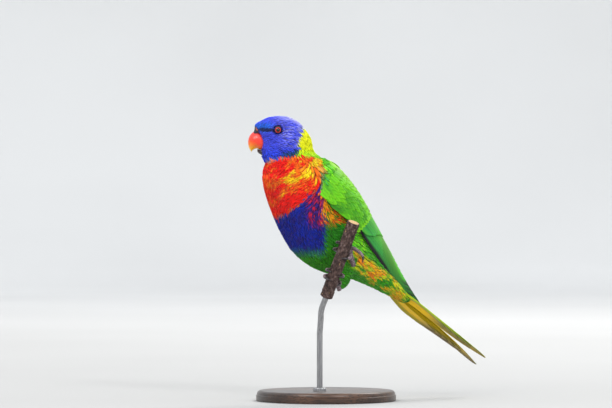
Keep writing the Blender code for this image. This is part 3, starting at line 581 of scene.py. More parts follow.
def head_colours(x, z, places):
    streak = noise_at(places * (0.35, 0.6, 1.5), 0.42, 3)
    c = np.tile(linear(VIOLET_BLUE), (len(x), 1))
    c = paint(c, THROAT_BLUE, 1 - smooth_step(z, 207, 222))
    forehead = between(z, FOREHEAD_Z[0], FOREHEAD_Z[1] + 1.5 * streak, 3.0)
    c = paint(c, FOREHEAD_BLUE, between(x, *FOREHEAD_X, 6) * forehead * 0.9)
    lilac = between(x, *LILAC_X, 5) * between(z, *LILAC_Z, 4)
    c = paint(c, PALE_LILAC, lilac * (0.35 + 1.1 * streak))
    # Painted highlight: the top and the back of the crown are paler, where the light falls from above
    # and behind.
    c = paint(c, PALE_LILAC, smooth_step(z, 236, 243) * smooth_step(x, -48, -34) * 0.75)
    rear = z + 0.72 * (x + 30)
    c = paint(c, CROWN_RIM_HIGHLIGHT, smooth_step(rear, 238, 245) * smooth_step(x, -42, -32) * 0.7)
    c = paint(c, HEAD_SHADE, smooth_step(streak, 0.12, 0.4) * between(z, *SHADE_Z, 4) * 0.7)
    ahead = places[:, 0] - LORE_CENTRE[0]
    above = places[:, 2] - LORE_CENTRE[1] + LORE_SLOPE * ahead
    lore = np.hypot(ahead / LORE_HALF[0], above / LORE_HALF[1])
    c = paint(c, LORE_DARK, (1 - smooth_step(lore, 0.65, 1.2)) * 0.9)
    eye_far = np.hypot(x - EYE_X, z - EYE_Z)
    c = paint(c, LORE_DARK, (1 - smooth_step(eye_far, *EYE_RIM)) * 0.4)
    cheek = between(x, *CHEEK_X, 4) * between(z, 205, 213.5 + 0.25 * (x + 30), 2.0)
    return paint(c, CHEEK_EDGE, cheek * 0.85)


def underside_colours(c, x, z, y, fine):
    """Green behind the belly, with patches of yellow, orange and red along the vent."""
    c = paint(c, FLANK_GREEN, (1 - smooth_step(z, 124, 134)) * 0.8)
    lengthwise = np.stack([(0.75 * x - 0.66 * z) * 0.45, y * 0.8, (0.66 * x + 0.75 * z) * 1.5],
                          axis=1)
    spots = noise_at(lengthwise, 0.14, 4) + 0.3 * fine
    line = z - (117 - VENT_SLOPE * (x - 31))
    vent = between(x, *VENT_X, 6) * between(line, *VENT_ACROSS, 3)
    for colour, low, high, amount in ((VENT_YELLOW, -0.30, 0.0, 0.75),
                                      (VENT_ORANGE, 0.04, 0.24, 0.65),
                                      (VENT_RED, 0.24, 0.44, 0.5)):
        c = paint(c, colour, vent * smooth_step(spots, low, high) * amount)
    return c


def belly_colours(c, x, z, on_belly, wobble, fine):
    """Blue in front, then green, with barred purple and orange feather tips between them."""
    c = paint(c, FLANK_GREEN, on_belly)
    blue = on_belly * (1 - smooth_step(x, -3.5, 0.5))
    c = paint(c, BELLY_BLUE, blue)
    c = paint(c, BELLY_VIOLET, blue * smooth_step(wobble + 0.3 * fine, -0.05, 0.3) * 0.85)
    stripe = np.sin(2 * pi * (z + 0.30 * x) / FLANK_STRIPE + 2.6 * wobble) * 0.5
    purple = on_belly * between(x, *PURPLE_X, 3) * between(z, *PURPLE_Z, 3)
    c = paint(c, FLANK_PURPLE, purple * 0.7)
    c = paint(c, PURPLE_RED, purple * smooth_step(stripe, -0.05, 0.25))
    tips = on_belly * between(x, *TIPS_X, 2.0) * between(z, *TIPS_Z, 3)
    c = paint(c, TIP_ORANGE, tips * smooth_step(stripe, -0.45, -0.2))
    return paint(c, TIP_YELLOW, tips * smooth_step(stripe, 0.02, 0.32))


def breast_colours(c, x, z, y, on_breast):
    """Red at the front, with yellow and orange streaks towards the wing."""
    c = paint(c, RED, on_breast)
    slanted = np.stack([x * 0.36 + z * 0.28, y * 0.3, z * 1.3 - x * 1.0], axis=1)
    streaks = noise_at(slanted, 0.17, 8) + 0.6 * noise_at(slanted, 0.40, 9)
    from_x, from_z = x - GOLD_CENTRE[0], z - GOLD_CENTRE[1]
    band, beside = 0.86 * from_x + 0.50 * from_z, 0.86 * from_z - 0.50 * from_x
    gold = np.exp(-(band / GOLD_LENGTH) ** 2 - (beside / GOLD_WIDTH) ** 2)
    c = paint(c, ORANGE, on_breast * smooth_step(streaks + 1.1 * gold, 0.24, 0.50))
    c = paint(c, YELLOW, on_breast * smooth_step(streaks + 0.85 * gold, 0.66, 0.96))
    front = between(line_at(z, BREAST_FRONT) - x, -9.0, 6.0, 3.0)
    c = paint(c, ORANGE, on_breast * front * smooth_step(streaks, -0.15, 0.25) * 0.45)
    return paint(c, DEEP_RED, on_breast * smooth_step(-streaks - 0.8 * gold, 0.05, 0.4) * 0.4)


def beyond(value, line, soft):
    """0 before a boundary and 1 past it."""
    return smooth_step(value, line - soft, line + soft)


def marking(places):
    """The plumage colour, as linear values, at places in millimetres."""
    wobble = noise_at(places, 0.30, 1)
    fine = noise_at(places, 0.75, 2)
    x, z = side_view(places)
    x, y, z = x + 1.5 * wobble + 0.8 * fine, places[:, 1], z + 1.7 * fine
    c = np.tile(linear(GREEN), (len(x), 1))
    c = paint(c, BRIGHT_GREEN, smooth_step(wobble, 0.0, 0.4) * 0.6)
    c = paint(c, DARK_GREEN, smooth_step(fine, 0.1, 0.5) * 0.45)
    c = underside_colours(c, x, z, y, fine)
    wing_edge = line_at(z, WING_FRONT)
    above_belly = beyond(z, line_at(x, BLUE_BELOW), 1.5)
    on_belly = (1 - above_belly) * smooth_step(z, 122, 134) * (1 - beyond(x, wing_edge, 1.5))
    c = belly_colours(c, x, z, on_belly, wobble, fine)
    collar = line_at(x, RED_BELOW)
    under_chin = UNDER_CHIN * (1 - smooth_step(x, -30, -20))
    on_breast = (1 - beyond(z - under_chin, collar, 1.2)) * (1 - on_belly) * above_belly
    c = breast_colours(c, x, z, y, on_breast * (1 - smooth_step(x, -4.0, -1.0)))
    strip = between(x, wing_edge - 3.5, wing_edge + 1.5, 1.2) * between(z, *TEAL_Z, 4)
    c = paint(c, TEAL_GREEN, strip * 0.85)
    above = beyond(z, collar, 1.2)
    nape = above * (1 - smooth_step(x - 0.55 * (212 - z), -8, 2)) * smooth_step(z, 198, 205)
    c = paint(c, NECK_GREEN, nape)
    c = paint(c, LIME, nape * smooth_step(z, 205, 214))
    c = paint(c, YELLOW_LIME, nape * smooth_step(z, 211, 220) * 0.9)
    on_head = above * (1 - beyond(x, line_at(z, BLUE_UNTIL), 1.0))
    on_head *= np.where(z < 210, 1 - smooth_step(x, -28, -24), 1.0)
    head = head_colours(x, z, places)
    return np.clip(c + (head - c) * on_head[:, None], 0.002, 1)


SKIN_TINT, BARE_TINT, LID_EDGE_TINT = (84, 52, 48), (58, 56, 128), (96, 30, 24)
SKIN_PAINTED_SHADE, SKIN_WARMTH = 0.72, 0.08


def write_colours(mesh, colours):
    layer = mesh.attributes.new("plumage", "FLOAT_COLOR", "POINT")
    layer.data.foreach_set("color", np.column_stack([colours, np.ones(len(colours))]).ravel())


# The skin takes the plumage's colours darkened, as painted shade down between the feathers, with a
# little warm skin tint.
write_colours(skin_surface, marking(SKIN_PLACES) * SKIN_PAINTED_SHADE + linear(SKIN_TINT) * SKIN_WARMTH)
skin_finish, tree, shader = shader_material("skin_between_feathers", 0.6, Subsurface_Weight=0.0)
painted = node(tree, "ShaderNodeAttribute", attribute_name="plumage").outputs["Color"]
tree.links.new(speckled(tree, painted, place_noise(tree, 900, 3),
                        ((0.3, (150, 150, 150)), (0.7, WHITE)), 0.8), shader.inputs["Base Color"])
bump(tree, shader, place_noise(tree, 1400, 2), 0.0002)

LID_INNER, LID_OUTER, LID_EDGE_HEIGHT, LID_EDGE_WIDTH = 2.42, 3.15, 14.8, 2.6
LID_THICKNESS, LID_FOLD = 0.28, 0.14
LID_SIDES, LID_STEPS = 64, 10


def closed_mesh(name, places, faces):
    """A closed mesh from places in millimetres and from faces, turned outwards."""
    bm = bmesh.new()
    corners = [bm.verts.new(Vector(p) * MM) for p in places]
    for face in faces:
        bm.faces.new([corners[k] for k in face])
    return outward_mesh(name, bm)


def skin_lids():
    """Lids round both eyes: a low ring of folded bare skin that hugs the eyeball."""
    places, faces = [], []
    for side in (-1, 1):
        first = len(places)
        for i in range(LID_SIDES):
            a = 2 * pi * i / LID_SIDES
            inner = LID_INNER * (1 - 0.08 * sin(a) ** 2) + 0.16 * cos(a) ** 8
            start = EYE_OUT + sqrt(EYE_RADIUS**2 - inner**2)
            section = []
            for j in range(LID_STEPS):
                t = j / (LID_STEPS - 1)
                fold = LID_FOLD * sin(pi * 3 * t) * (1 - t)
                rounded = LID_THICKNESS * sqrt(min(1.0, 0.12 + 3 * t))
                height = start + rounded + (LID_EDGE_HEIGHT - start - rounded) * t**1.3 + fold
                section.append((inner + (LID_OUTER - inner) * t, height))
            section += [(inner, start - 0.4), (LID_OUTER, LID_EDGE_HEIGHT - 1.2)]
            places += [(EYE_X + reach * cos(a), HEAD_Y + side * height, EYE_Z + reach * sin(a))
                       for reach, height in section]
        loop = LID_STEPS + 2
        order = [LID_STEPS] + list(range(LID_STEPS)) + [LID_STEPS + 1]
        for i in range(LID_SIDES):
            j = (i + 1) % LID_SIDES
            for a, b in zip(order, order[1:] + order[:1]):
                faces.append((first + i * loop + a, first + i * loop + b,
                              first + j * loop + b, first + j * loop + a))
    return closed_mesh("lids", places, faces)


lids = skin_lids()
lid_places, _ = vertex_arrays(lids)
lid_reach = np.hypot(lid_places[:, 0] - EYE_X, lid_places[:, 2] - EYE_Z)
at_edge = (lid_reach < LID_EDGE_WIDTH)[:, None]
write_colours(lids, np.where(at_edge, linear(LID_EDGE_TINT), linear(BARE_TINT)))
whole_skin = bmesh.new()
whole_skin.from_mesh(skin_surface)
whole_skin.from_mesh(lids)
whole_skin.to_mesh(skin_surface)
whole_skin.free()
skin_surface.shade_smooth()
add_piece("skin", skin_surface, skin_finish, FLESH)

# Small feathers. Each grows from the skin, follows it towards the tail, and lies over the roots
# of those behind it. They are thin closed vanes, short on the face and long on the rump.
AXIS = np.array([(-56, -9.5, 223), (-44, -9.5, 227), (-33, -9.5, 222), (-27, -9, 210),
                 (-22, -5, 195), (-16, -2, 180), (-8, 2, 160), (4, 9, 140), (22, 18, 124),
                 (40, 28, 110), (62, 40, 90), (76, 47, 79)], dtype=float)
rng = np.random.default_rng(20)
AXIS_LINE = through(AXIS, np.linspace(0, len(AXIS) - 1, 120))
AXIS_WAY = np.gradient(AXIS_LINE, axis=0)
AXIS_WAY /= np.linalg.norm(AXIS_WAY, axis=1)[:, None]


# How far the feathers' lie is turned off the body's line, and where
LIE_FROM_BILL, SWEEP_PULL, SWEEP_Z = (24, 44), 1.7, (168, 208)
FLANK_PULL, FLANK_Z, EYE_PULL, EYE_REACH = 1.3, (146, 180), 1.1, (5.5, 8.5)


def lie(places, normals):
    """The way that feathers point at places on the skin: from the bill towards the tail."""
    nearest = ((places[:, None, :] - AXIS_LINE[None, :, :]) ** 2).sum(2).argmin(1)
    way = AXIS_WAY[nearest].copy()
    from_bill = places - (BILL_BASE + (-3, 0, 2))
    near = 1 - smooth_step(np.linalg.norm(from_bill, axis=1), *LIE_FROM_BILL)
    way = way * (1 - near)[:, None] + unit(from_bill) * near[:, None]
    middle, left, forward = body_frame(places)
    side = ((places - middle) * left).sum(1)
    ahead = ((places - middle) * forward).sum(1)
    sweep = between(places[:, 2], *SWEEP_Z, 8) * smooth_step(ahead, -14, 0)
    way += forward * (SWEEP_PULL * sweep * smooth_step(np.abs(side), 4, 20))[:, None]
    flank = between(places[:, 2], *FLANK_Z, 6) * (1 - smooth_step(ahead, 2, 14))
    way -= forward * (FLANK_PULL * flank)[:, None]
    from_eye = places - (EYE_X, HEAD_Y, EYE_Z)
    from_eye[:, 1] = 0
    far = np.linalg.norm(from_eye, axis=1)
    outward = unit(from_eye)
    inward = np.minimum((way * outward).sum(1), 0) * (1 - smooth_step(far, *EYE_REACH))
    way -= outward * (EYE_PULL * inward)[:, None]
    way -= normals * (way * normals).sum(1)[:, None]
    return unit(way)


def skin_regions(places):
    """The flesh node nearest to each place, by its number in FLESH."""
    region = np.zeros(len(places), int)
    for k, p in enumerate(places):
        point = Vector(p) * MM
        distances = [NODE_TREES[part].find_nearest(point)[3] for part in FLESH]
        region[k] = int(np.argmin(distances))
    return region


ROOT_TRIES, ROOT_CELL = 220000, 3.0
FACE_SPACING, HEAD_WIDER, BODY_WIDER, RUMP_WIDER = 0.74, 0.46, 0.50, 0.40
BARE_EYE, BARE_GAP = 2.75, 0.0004


def scatter(mesh, spacing_at, count):
    """Roots on the skin, none nearer to another than the spacing there, with their normals."""
    mesh.calc_loop_triangles()
    corners = np.zeros(len(mesh.loop_triangles) * 3, int)
    mesh.loop_triangles.foreach_get("vertices", corners)
    corners = corners.reshape(-1, 3)
    places, normals = vertex_arrays(mesh)
    a, b, c = (places[corners[:, k]] for k in range(3))
    areas = np.linalg.norm(np.cross(b - a, c - a), axis=1)
    weight = areas / spacing_at((a + b + c) / 3) ** 2
    picked = rng.choice(len(corners), count, p=weight / weight.sum())
    u, v = rng.random(count), rng.random(count)
    over = u + v > 1
    u[over], v[over] = 1 - u[over], 1 - v[over]
    w = 1 - u - v
    points = a[picked] * w[:, None] + b[picked] * u[:, None] + c[picked] * v[:, None]
    na, nb, nc = (normals[corners[picked, k]] for k in range(3))
    ways = unit(na * w[:, None] + nb * u[:, None] + nc * v[:, None])
    spacing = spacing_at(points)
    taken, kept = {}, []
    keys = np.floor(points / ROOT_CELL).astype(int)
    around = [(i, j, k) for i in (-1, 0, 1) for j in (-1, 0, 1) for k in (-1, 0, 1)]
    for n in range(count):
        kx, ky, kz = keys[n]
        px, py, pz = points[n]
        limit = spacing[n] ** 2
        clear = True
        for i, j, k in around:
            for qx, qy, qz in taken.get((kx + i, ky + j, kz + k), ()):
                if (px - qx) ** 2 + (py - qy) ** 2 + (pz - qz) ** 2 < limit:
                    clear = False
                    break
            if not clear:
                break
        if clear:
            taken.setdefault((kx, ky, kz), []).append((px, py, pz))
            kept.append(n)
    return points[kept], ways[kept]


def root_spacing(places):
    """Millimetres between roots: close on the face, wider towards the rump."""
    from_bill = np.linalg.norm(places - BILL_BASE, axis=1)
    spacing = FACE_SPACING + HEAD_WIDER * smooth_step(from_bill, 10, 34)
    spacing += BODY_WIDER * (1 - smooth_step(places[:, 2], 194, 214))
    spacing += RUMP_WIDER * (1 - smooth_step(places[:, 2], 120, 140)) * (places[:, 0] > 34)
    return spacing


def feathered(places):
    """True where feathers grow: not on the lids, or where the bill and cere sit."""
    grows = np.hypot(places[:, 0] - EYE_X, places[:, 2] - EYE_Z) > BARE_EYE
    grows |= places[:, 2] < 220
    for k in np.nonzero(np.linalg.norm(places - BILL_BASE, axis=1) < 18)[0]:
        point = Vector(places[k]) * MM
        for part in ("bill_upper", "bill_lower", "cere"):
            nearest, normal, _, distance = NODE_TREES[part].find_nearest(point)
            if distance < BARE_GAP or (point - nearest).dot(normal) < 0:
                grows[k] = False
    return grows


def quads_between(rings, points):
    """Faces that join rings of equal points, as indices within one shape."""
    return [
        (k * points + j, k * points + (j + 1) % points,
         (k + 1) * points + (j + 1) % points, (k + 1) * points + j)
        for k in range(rings - 1) for j in range(points)
    ]


def mesh_of_copies(name, places, faces, colours, unwrap, vane):
    """One mesh of many like shapes. places is (copies, points, 3) in millimetres."""
    copies, points = places.shape[:2]
    lengths = np.array([len(f) for f in faces])
    flat = np.concatenate([np.array(f) for f in faces])
    loops = (flat[None, :] + (np.arange(copies) * points)[:, None]).ravel()
    totals = np.tile(lengths, copies)
    starts = np.concatenate([[0], np.cumsum(totals)[:-1]])
    mesh = bpy.data.meshes.new(name)
    mesh.vertices.add(copies * points)
    mesh.vertices.foreach_set("co", (places.reshape(-1, 3) * MM).ravel())
    mesh.loops.add(len(loops))
    mesh.loops.foreach_set("vertex_index", loops.astype(np.int32))
    mesh.polygons.add(len(totals))
    mesh.polygons.foreach_set("loop_start", starts.astype(np.int32))
    mesh.update(calc_edges=True)
    write_colours(mesh, colours.reshape(-1, 3))
    for layer_name, values in (("OFBake", unwrap), ("Vane", vane)):
        layer = mesh.uv_layers.new(name=layer_name)
        layer.data.foreach_set("uv", values.reshape(-1, 2)[loops].ravel())
    mesh.shade_smooth()
    return mesh


UNWRAP_PATCH, AXIS_PITCH = 0.003, 2.2


def unwrap_of(roots):
    """Places in 0 to 1 on a cylinder unwrap of the skin: round the body, and along it."""
    nearest = ((roots[:, None, :] - AXIS_LINE[None, :, :]) ** 2).sum(2).argmin(1)
    away = roots - AXIS_LINE[nearest]
    way = AXIS_WAY[nearest]
    side = unit(np.cross(way, (0, 0, 1.0)) + (1e-6, 0, 0))
    other = np.cross(side, way)
    turn = np.arctan2((away * side).sum(1), (away * other).sum(1)) / (2 * pi) + 0.5
    along = nearest + ((roots - AXIS_LINE[nearest]) * way).sum(1) / AXIS_PITCH
    spread = []
    for value in (turn, along):
        low, high = value.min(), value.max()
        spread.append(0.01 + 0.97 * (value - low) / max(high - low, 1e-6))
    return np.stack(spread, axis=1)


def follow_skin(starts, ways, step, count):
    """Places and normals at equal steps along the skin from each root."""
    places, normals = [starts], []
    point, way = starts.copy(), ways.copy()
    for k in range(count):
        hits = [skin_tree.find_nearest(Vector(p)) for p in point]
        normal = np.array([h[1] for h in hits])
        if k:
            point = np.array([h[0] for h in hits])
            places.append(point)
        normals.append(normal)
        way = unit(way - normal * (way * normal).sum(1)[:, None])
        point = point + way * step[:, None]
    return np.stack(places, axis=1), np.stack(normals, axis=1)


FEATHER_STEPS = 4
FEATHER_SHARES, FEATHER_WIDTHS = (0, 0.3, 0.62, 0.85, 1), (0.38, 0.86, 1.0, 0.72, 0.3)


def small_feathers(name, picked, sizes, widths, lift, strands=1, fan=0.0, pale=1.0, yaw=6.0,
                   variety=0.2):
    """A coat piece: for each picked root one vane, or a few strands fanned out, along the lie."""
    starts, normals = roots[picked], root_normals[picked]
    count = len(starts)
    sizes, widths, lift = (np.broadcast_to(value, count) for value in (sizes, widths, lift))
    ways = lie(starts, normals)
    centre = marking(starts + ways * (sizes * 0.55)[:, None])
    shade = 1 + variety * (rng.random(count) - 0.5)
    unwrap_roots = unwrap_of(starts)
    u = np.linspace(0, 1, FEATHER_STEPS + 1)
    profile = np.interp(u[:-1], FEATHER_SHARES, FEATHER_WIDTHS)
    point_u = np.concatenate([np.repeat(u[:-1], 4), [1.0]])
    point_v = np.concatenate([np.tile((0.0, 0.5, 1.0, 0.5), FEATHER_STEPS), [0.5]])
    tone = (0.84 + 0.22 * smooth_step(point_u, 0.05, 0.6))[None, :] * shade[:, None]
    ridge = (np.abs(point_v - 0.5) < 0.1) * smooth_step(point_u, 0.2, 0.7)
    colour = centre[:, None, :] * tone[..., None] * (1 + (pale - 1) * ridge[None, :, None])
    patch = np.stack([point_v - 0.5, point_u - 0.5], axis=1) * UNWRAP_PATCH
    vane = np.broadcast_to(np.stack([point_v, point_u], axis=1), (count, len(point_u), 2))
    thin = 0.05 + 0.035 * widths[:, None, None]
    shapes = []
    for strand in range(strands):
        spread = 0 if strands == 1 else strand / (strands - 1) - 0.5
        turn = np.radians(fan * spread * 2 + yaw * rng.normal(size=count))
        side = np.cross(normals, ways)
        aim = ways * np.cos(turn)[:, None] + side * np.sin(turn)[:, None]
        length = sizes * (1 - 0.16 * abs(spread) * 2) * (0.86 + 0.28 * rng.random(count))
        line, line_normals = follow_skin(starts, aim, length / FEATHER_STEPS, FEATHER_STEPS + 1)
        height = (0.05 + (lift[:, None] - 0.05) * (u[None, :] ** 0.8)
                  * (0.8 + 0.4 * rng.random((count, 1))))
        middle = line + line_normals * height[..., None]
        across = unit(np.cross(line_normals, unit(np.gradient(middle, axis=1))))[:, :-1]
        half = widths[:, None] / 2 * profile[None, :] * (0.85 + 0.3 * rng.random((count, 1)))
        ring_middle, up = middle[:, :-1], line_normals[:, :-1]
        droop = up * (half * 0.22)[..., None]
        rings = np.stack([
            ring_middle + across * half[..., None] - droop,
            ring_middle + up * thin,
            ring_middle - across * half[..., None] - droop,
            ring_middle - up * thin * 0.6,
        ], axis=2)
        shapes.append(np.concatenate([rings.reshape(count, -1, 3), middle[:, -1:]], axis=1))
    faces = quads_between(FEATHER_STEPS, 4)
    last = (FEATHER_STEPS - 1) * 4
    faces += [(last + j, last + (j + 1) % 4, FEATHER_STEPS * 4) for j in range(4)]
    faces.append((3, 2, 1, 0))
    mesh = mesh_of_copies(name, np.concatenate(shapes), faces, *(
        np.concatenate([values] * strands)
        for values in (np.clip(colour, 0.001, 1.0), unwrap_roots[:, None, :] + patch[None], vane)))
    return add_piece(name, mesh, down_finish)


def barb_group():
    """Fine slanting barbs either side of a shaft, from a vane's own map: tone and height."""
    group, given, result = shader_group("barbs", ("Lines", "Slant"), (), ("Tone", "Height"))
    vane_map = node(group, "ShaderNodeUVMap", uv_map="Vane").outputs[0]
    across, along, _ = node(group, "ShaderNodeSeparateXYZ", [("Vector", vane_map)]).outputs
    away = maths(group, "ABSOLUTE", maths(group, "SUBTRACT", across, 0.5))
    slanted = maths(group, "SUBTRACT", along, maths(group, "MULTIPLY", away, given["Slant"]))
    phase = maths(group, "MULTIPLY", slanted, given["Lines"])
    wave = maths(group, "SINE", maths(group, "MULTIPLY", phase, 2 * pi))
    ripple = maths(group, "MULTIPLY_ADD", wave, 0.5, 0.5)
    mottle = node(group, "ShaderNodeTexNoise", [("Vector", vane_map)], Scale=9.0, Detail=2.0)
    mottle = maths(group, "MULTIPLY", mottle.outputs[0], 0.5)
    tone = maths(group, "ADD", maths(group, "MULTIPLY_ADD", ripple, 0.22, mottle), 0.62)
    group.links.new(tone, result["Tone"])
    group.links.new(ripple, result["Height"])
    return group


BARBS = barb_group()


def plumage_finish(name, lines, slant, roughness, sheen, height):
    """A vane's finish: its own colours, toned and raised by the barbs."""
    made, tree, shader = shader_material(name, roughness, Sheen_Weight=sheen,
                                         Sheen_Roughness=0.5, Specular_IOR_Level=0.22)
    painted = node(tree, "ShaderNodeAttribute", attribute_name="plumage").outputs["Color"]
    barbs = node(tree, "ShaderNodeGroup", node_tree=BARBS, Lines=lines, Slant=slant).outputs
    toned = node(tree, "ShaderNodeVectorMath", [("Vector", painted), ("Scale", barbs["Tone"])],
                 operation="SCALE")
    tree.links.new(toned.outputs[0], shader.inputs["Base Color"])
    bump(tree, shader, barbs["Height"], height, 0.5)
    return made


down_finish = plumage_finish("soft_feathers", 5.0, 0.9, 0.68, 0.06, 0.00006)

roots, root_normals = scatter(skin_surface, root_spacing, ROOT_TRIES)
growing = feathered(roots)
roots, root_normals = roots[growing], root_normals[growing]
regions = skin_regions(roots)


def in_region(*names):
    return np.isin(regions, [FLESH.index(name) for name in names])


root_middle, _, root_forward = body_frame(roots)
on_back = in_region("breast", "belly") & (((roots - root_middle) * root_forward).sum(1) < -4)
head, rump = in_region("head"), in_region("rump")
from_bill = np.linalg.norm(roots[head] - BILL_BASE, axis=1)
from_eye = np.hypot(roots[head, 0] - EYE_X, roots[head, 2] - EYE_Z)
head_size = 2.4 + 2.8 * smooth_step(from_bill, 9, 34)
head_size *= 0.5 + 0.5 * smooth_step(from_eye, 4, 8.5)
small_feathers("head_feathers", head, head_size, 0.8 + 0.6 * smooth_step(from_bill, 9, 34),
               0.35 + 0.55 * smooth_step(np.minimum(from_bill, 3 * from_eye), 9, 30),
               pale=1.6, variety=0.5)
small_feathers("neck_feathers", in_region("neck"), 6.4, 1.25, 1.1, strands=2,
               fan=9, pale=1.2)
small_feathers("breast_feathers", in_region("breast") & ~on_back, 10.0, 1.2, 1.3,
               strands=3, fan=9, pale=1.15, yaw=5)
small_feathers("belly_feathers", in_region("belly") & ~on_back, 9.5, 1.25, 1.4,
               strands=2, fan=9, pale=1.25, variety=0.3)
small_feathers("back_feathers", on_back, 10.0, 3.0, 1.6, pale=1.2, yaw=4)
small_feathers("rump_feathers", rump, 10 + 5 * smooth_step(roots[rump, 0], 30, 66), 2.3, 1.4,
               strands=2, fan=6, pale=1.2, yaw=3)
small_feathers("thigh_feathers", in_region("thigh_left", "thigh_right"), 5.5, 1.2, 1.1,
               strands=2, fan=9)

# Wings. Folded, each lies on one tapering envelope about a line from the shoulders to the tips.
# Small coverts grow from the skin; behind them lie rows of long feathers, each a closed thin vane
# on a shaft, the innermost on top. The webs are green, and the lowest primaries have black tips.
# The webs turn lime towards the wing's upper edge as a painted highlight, and the lowest primary's
# lower rim is black, partly its own colour and partly a painted shadow of the gap under the wing.
VANE_POINTS = (-1.0, -0.66, -0.33, 0.0, 0.33, 0.66, 1.0)
COVERT_POINTS = (-1.0, -0.5, 0.0, 0.5, 1.0)
PRIMARIES, SECONDARIES, GREATER_COVERTS = 10, 10, 13
VANE_TOP, VANE_UNDER = 0.09, 0.14


def long_feather(surface, root, tip, half_width, lifts, blunt, rows=26, spots=VANE_POINTS):
    """Places (rows, points) of one long feather. surface(along, across, sideways, lift) gives
    places; root and tip are (along, across) pairs, and lifts the heights at root and tip."""
    u = np.linspace(0, 1, rows)
    along = root[0] + (tip[0] - root[0]) * u
    across = root[1] + (tip[1] - root[1]) * u
    body = np.minimum(1, 0.45 + 1.6 * u) * (1 - np.clip((u - 1 + blunt) / blunt, 0, 1) ** 2.6) ** 0.55
    ragged = 1 - 0.05 * rng.random(rows) * (u > 0.3)
    half = half_width * np.maximum(body, 0.02) * ragged
    lift = lifts[0] + (lifts[1] - lifts[0]) * u
    top, under = [], []
    for v in spots:
        bend = -0.55 * v * v * np.minimum(half / 6, 1)
        shaft = 0.32 * (1 - u * 0.7) * (v == 0)
        swept = along - np.abs(v) * half * 0.25 * u
        top.append(surface(swept, across, v * half, lift + bend + shaft + VANE_TOP))
        under.append(surface(swept, across, v * half, lift + bend - VANE_UNDER))
    ring = top + under[::-1]
    return np.stack(ring, axis=1), u


def long_feathers(name, shapes, finish, replaced=(), spots=VANE_POINTS):
    """Joins long feathers into one piece: shapes are (places, u, colours) of equal counts."""
    places = np.stack([s[0].reshape(-1, 3) for s in shapes])
    rows, points = shapes[0][0].shape[:2]
    faces = quads_between(rows, points)
    faces.append(tuple(range(points - 1, -1, -1)))
    faces.append(tuple((rows - 1) * points + k for k in range(points)))
    u = np.repeat(shapes[0][1], points)
    v = np.tile(np.concatenate([spots, spots[::-1]]) / 2 + 0.5, rows)
    vane = np.broadcast_to(np.stack([v, u], axis=1), (len(shapes), len(u), 2))
    centres = places.mean(1)
    spread = centres - centres.min(0)
    flat = 0.02 + 0.9 * np.stack([spread[:, 0] / max(spread[:, 0].max(), 1e-6),
                                  np.arange(len(shapes)) / max(len(shapes) - 1, 1)], axis=1)
    strip = np.stack([(u - 0.5) * 0.05, (v - 0.5) * 0.6 / len(shapes)], axis=1)
    unwrap = flat[:, None, :] + strip[None]
    colours = np.stack([s[2].reshape(-1, 3) for s in shapes])
    mesh = mesh_of_copies(name, places, faces, colours, unwrap, vane)
    mesh.set_sharp_from_angle(angle=radians(50))
    return add_piece(name, mesh, finish, replaced)


WING_GREEN, WING_LIME_HIGHLIGHT, WING_SHADE = (104, 202, 8), (182, 238, 14), (44, 138, 30)
PRIMARY_GREEN, PRIMARY_BLACK = (52, 168, 66), (24, 24, 28)


def vane_colours(places, u, lower, upper, tip, tone, tip_from=0.72, rim=None, spots=VANE_POINTS):
    """Colours for one long feather: its two webs, the lower web's rim, its dark shaft, its tip."""
    rows, points = places.shape[:2]
    v = np.concatenate([spots, spots[::-1]])
    web = smooth_step(v, -0.1, 0.15)[None, :, None]
    base = linear(lower) * (1 - web) + linear(upper) * web
    end = smooth_step(u, tip_from, 1.0)[:, None, None]
    if rim is not None:
        outermost = smooth_step(-v, 0.3, 0.6)[None, :, None]
        base = base * (1 - outermost) + linear(rim) * outermost
    colour = base * (1 - end) + linear(tip) * end
    edge = smooth_step(np.abs(v), 0.7, 1.0)[None, :, None]
    colour = colour * (1 - 0.12 * edge) * tone
    shaft = (np.abs(v) < 0.1)[None, :, None]
    return np.broadcast_to(np.where(shaft, colour * 0.72, colour), (rows, points, 3)).copy()


def blend(first, second, share):
    return tuple(np.array(first) * (1 - share) + np.array(second) * share)


COVERT_ROWS, COVERTS_ACROSS, COVERT_STEP, SKIN_COVERTS_UNTIL = 12, 17, 4.0, 7.0
COVERT_LENGTH, COVERT_LENGTHENING, COVERT_HALF_WIDTH = 14.5, 0.35, 2.9
PRIMARY_ROOT, PRIMARY_SHORTENING, PRIMARY_HALF_WIDTH, BLACK_TIPPED = 52.0, 50, 6.6, 4
SECONDARY_ROOT, SECONDARY_TIP, SECONDARY_HALF_WIDTH = 40.0, 79.0, 6.2
GREATER_ROOT, GREATER_TIP, GREATER_HALF_WIDTH = 46.0, 65.0, 3.9
wing_finish = plumage_finish("wing_vanes", 34.0, 0.16, 0.5, 0.05, 0.00005)
covert_finish = plumage_finish("covert_vanes", 9.0, 0.6, 0.6, 0.05, 0.00005)

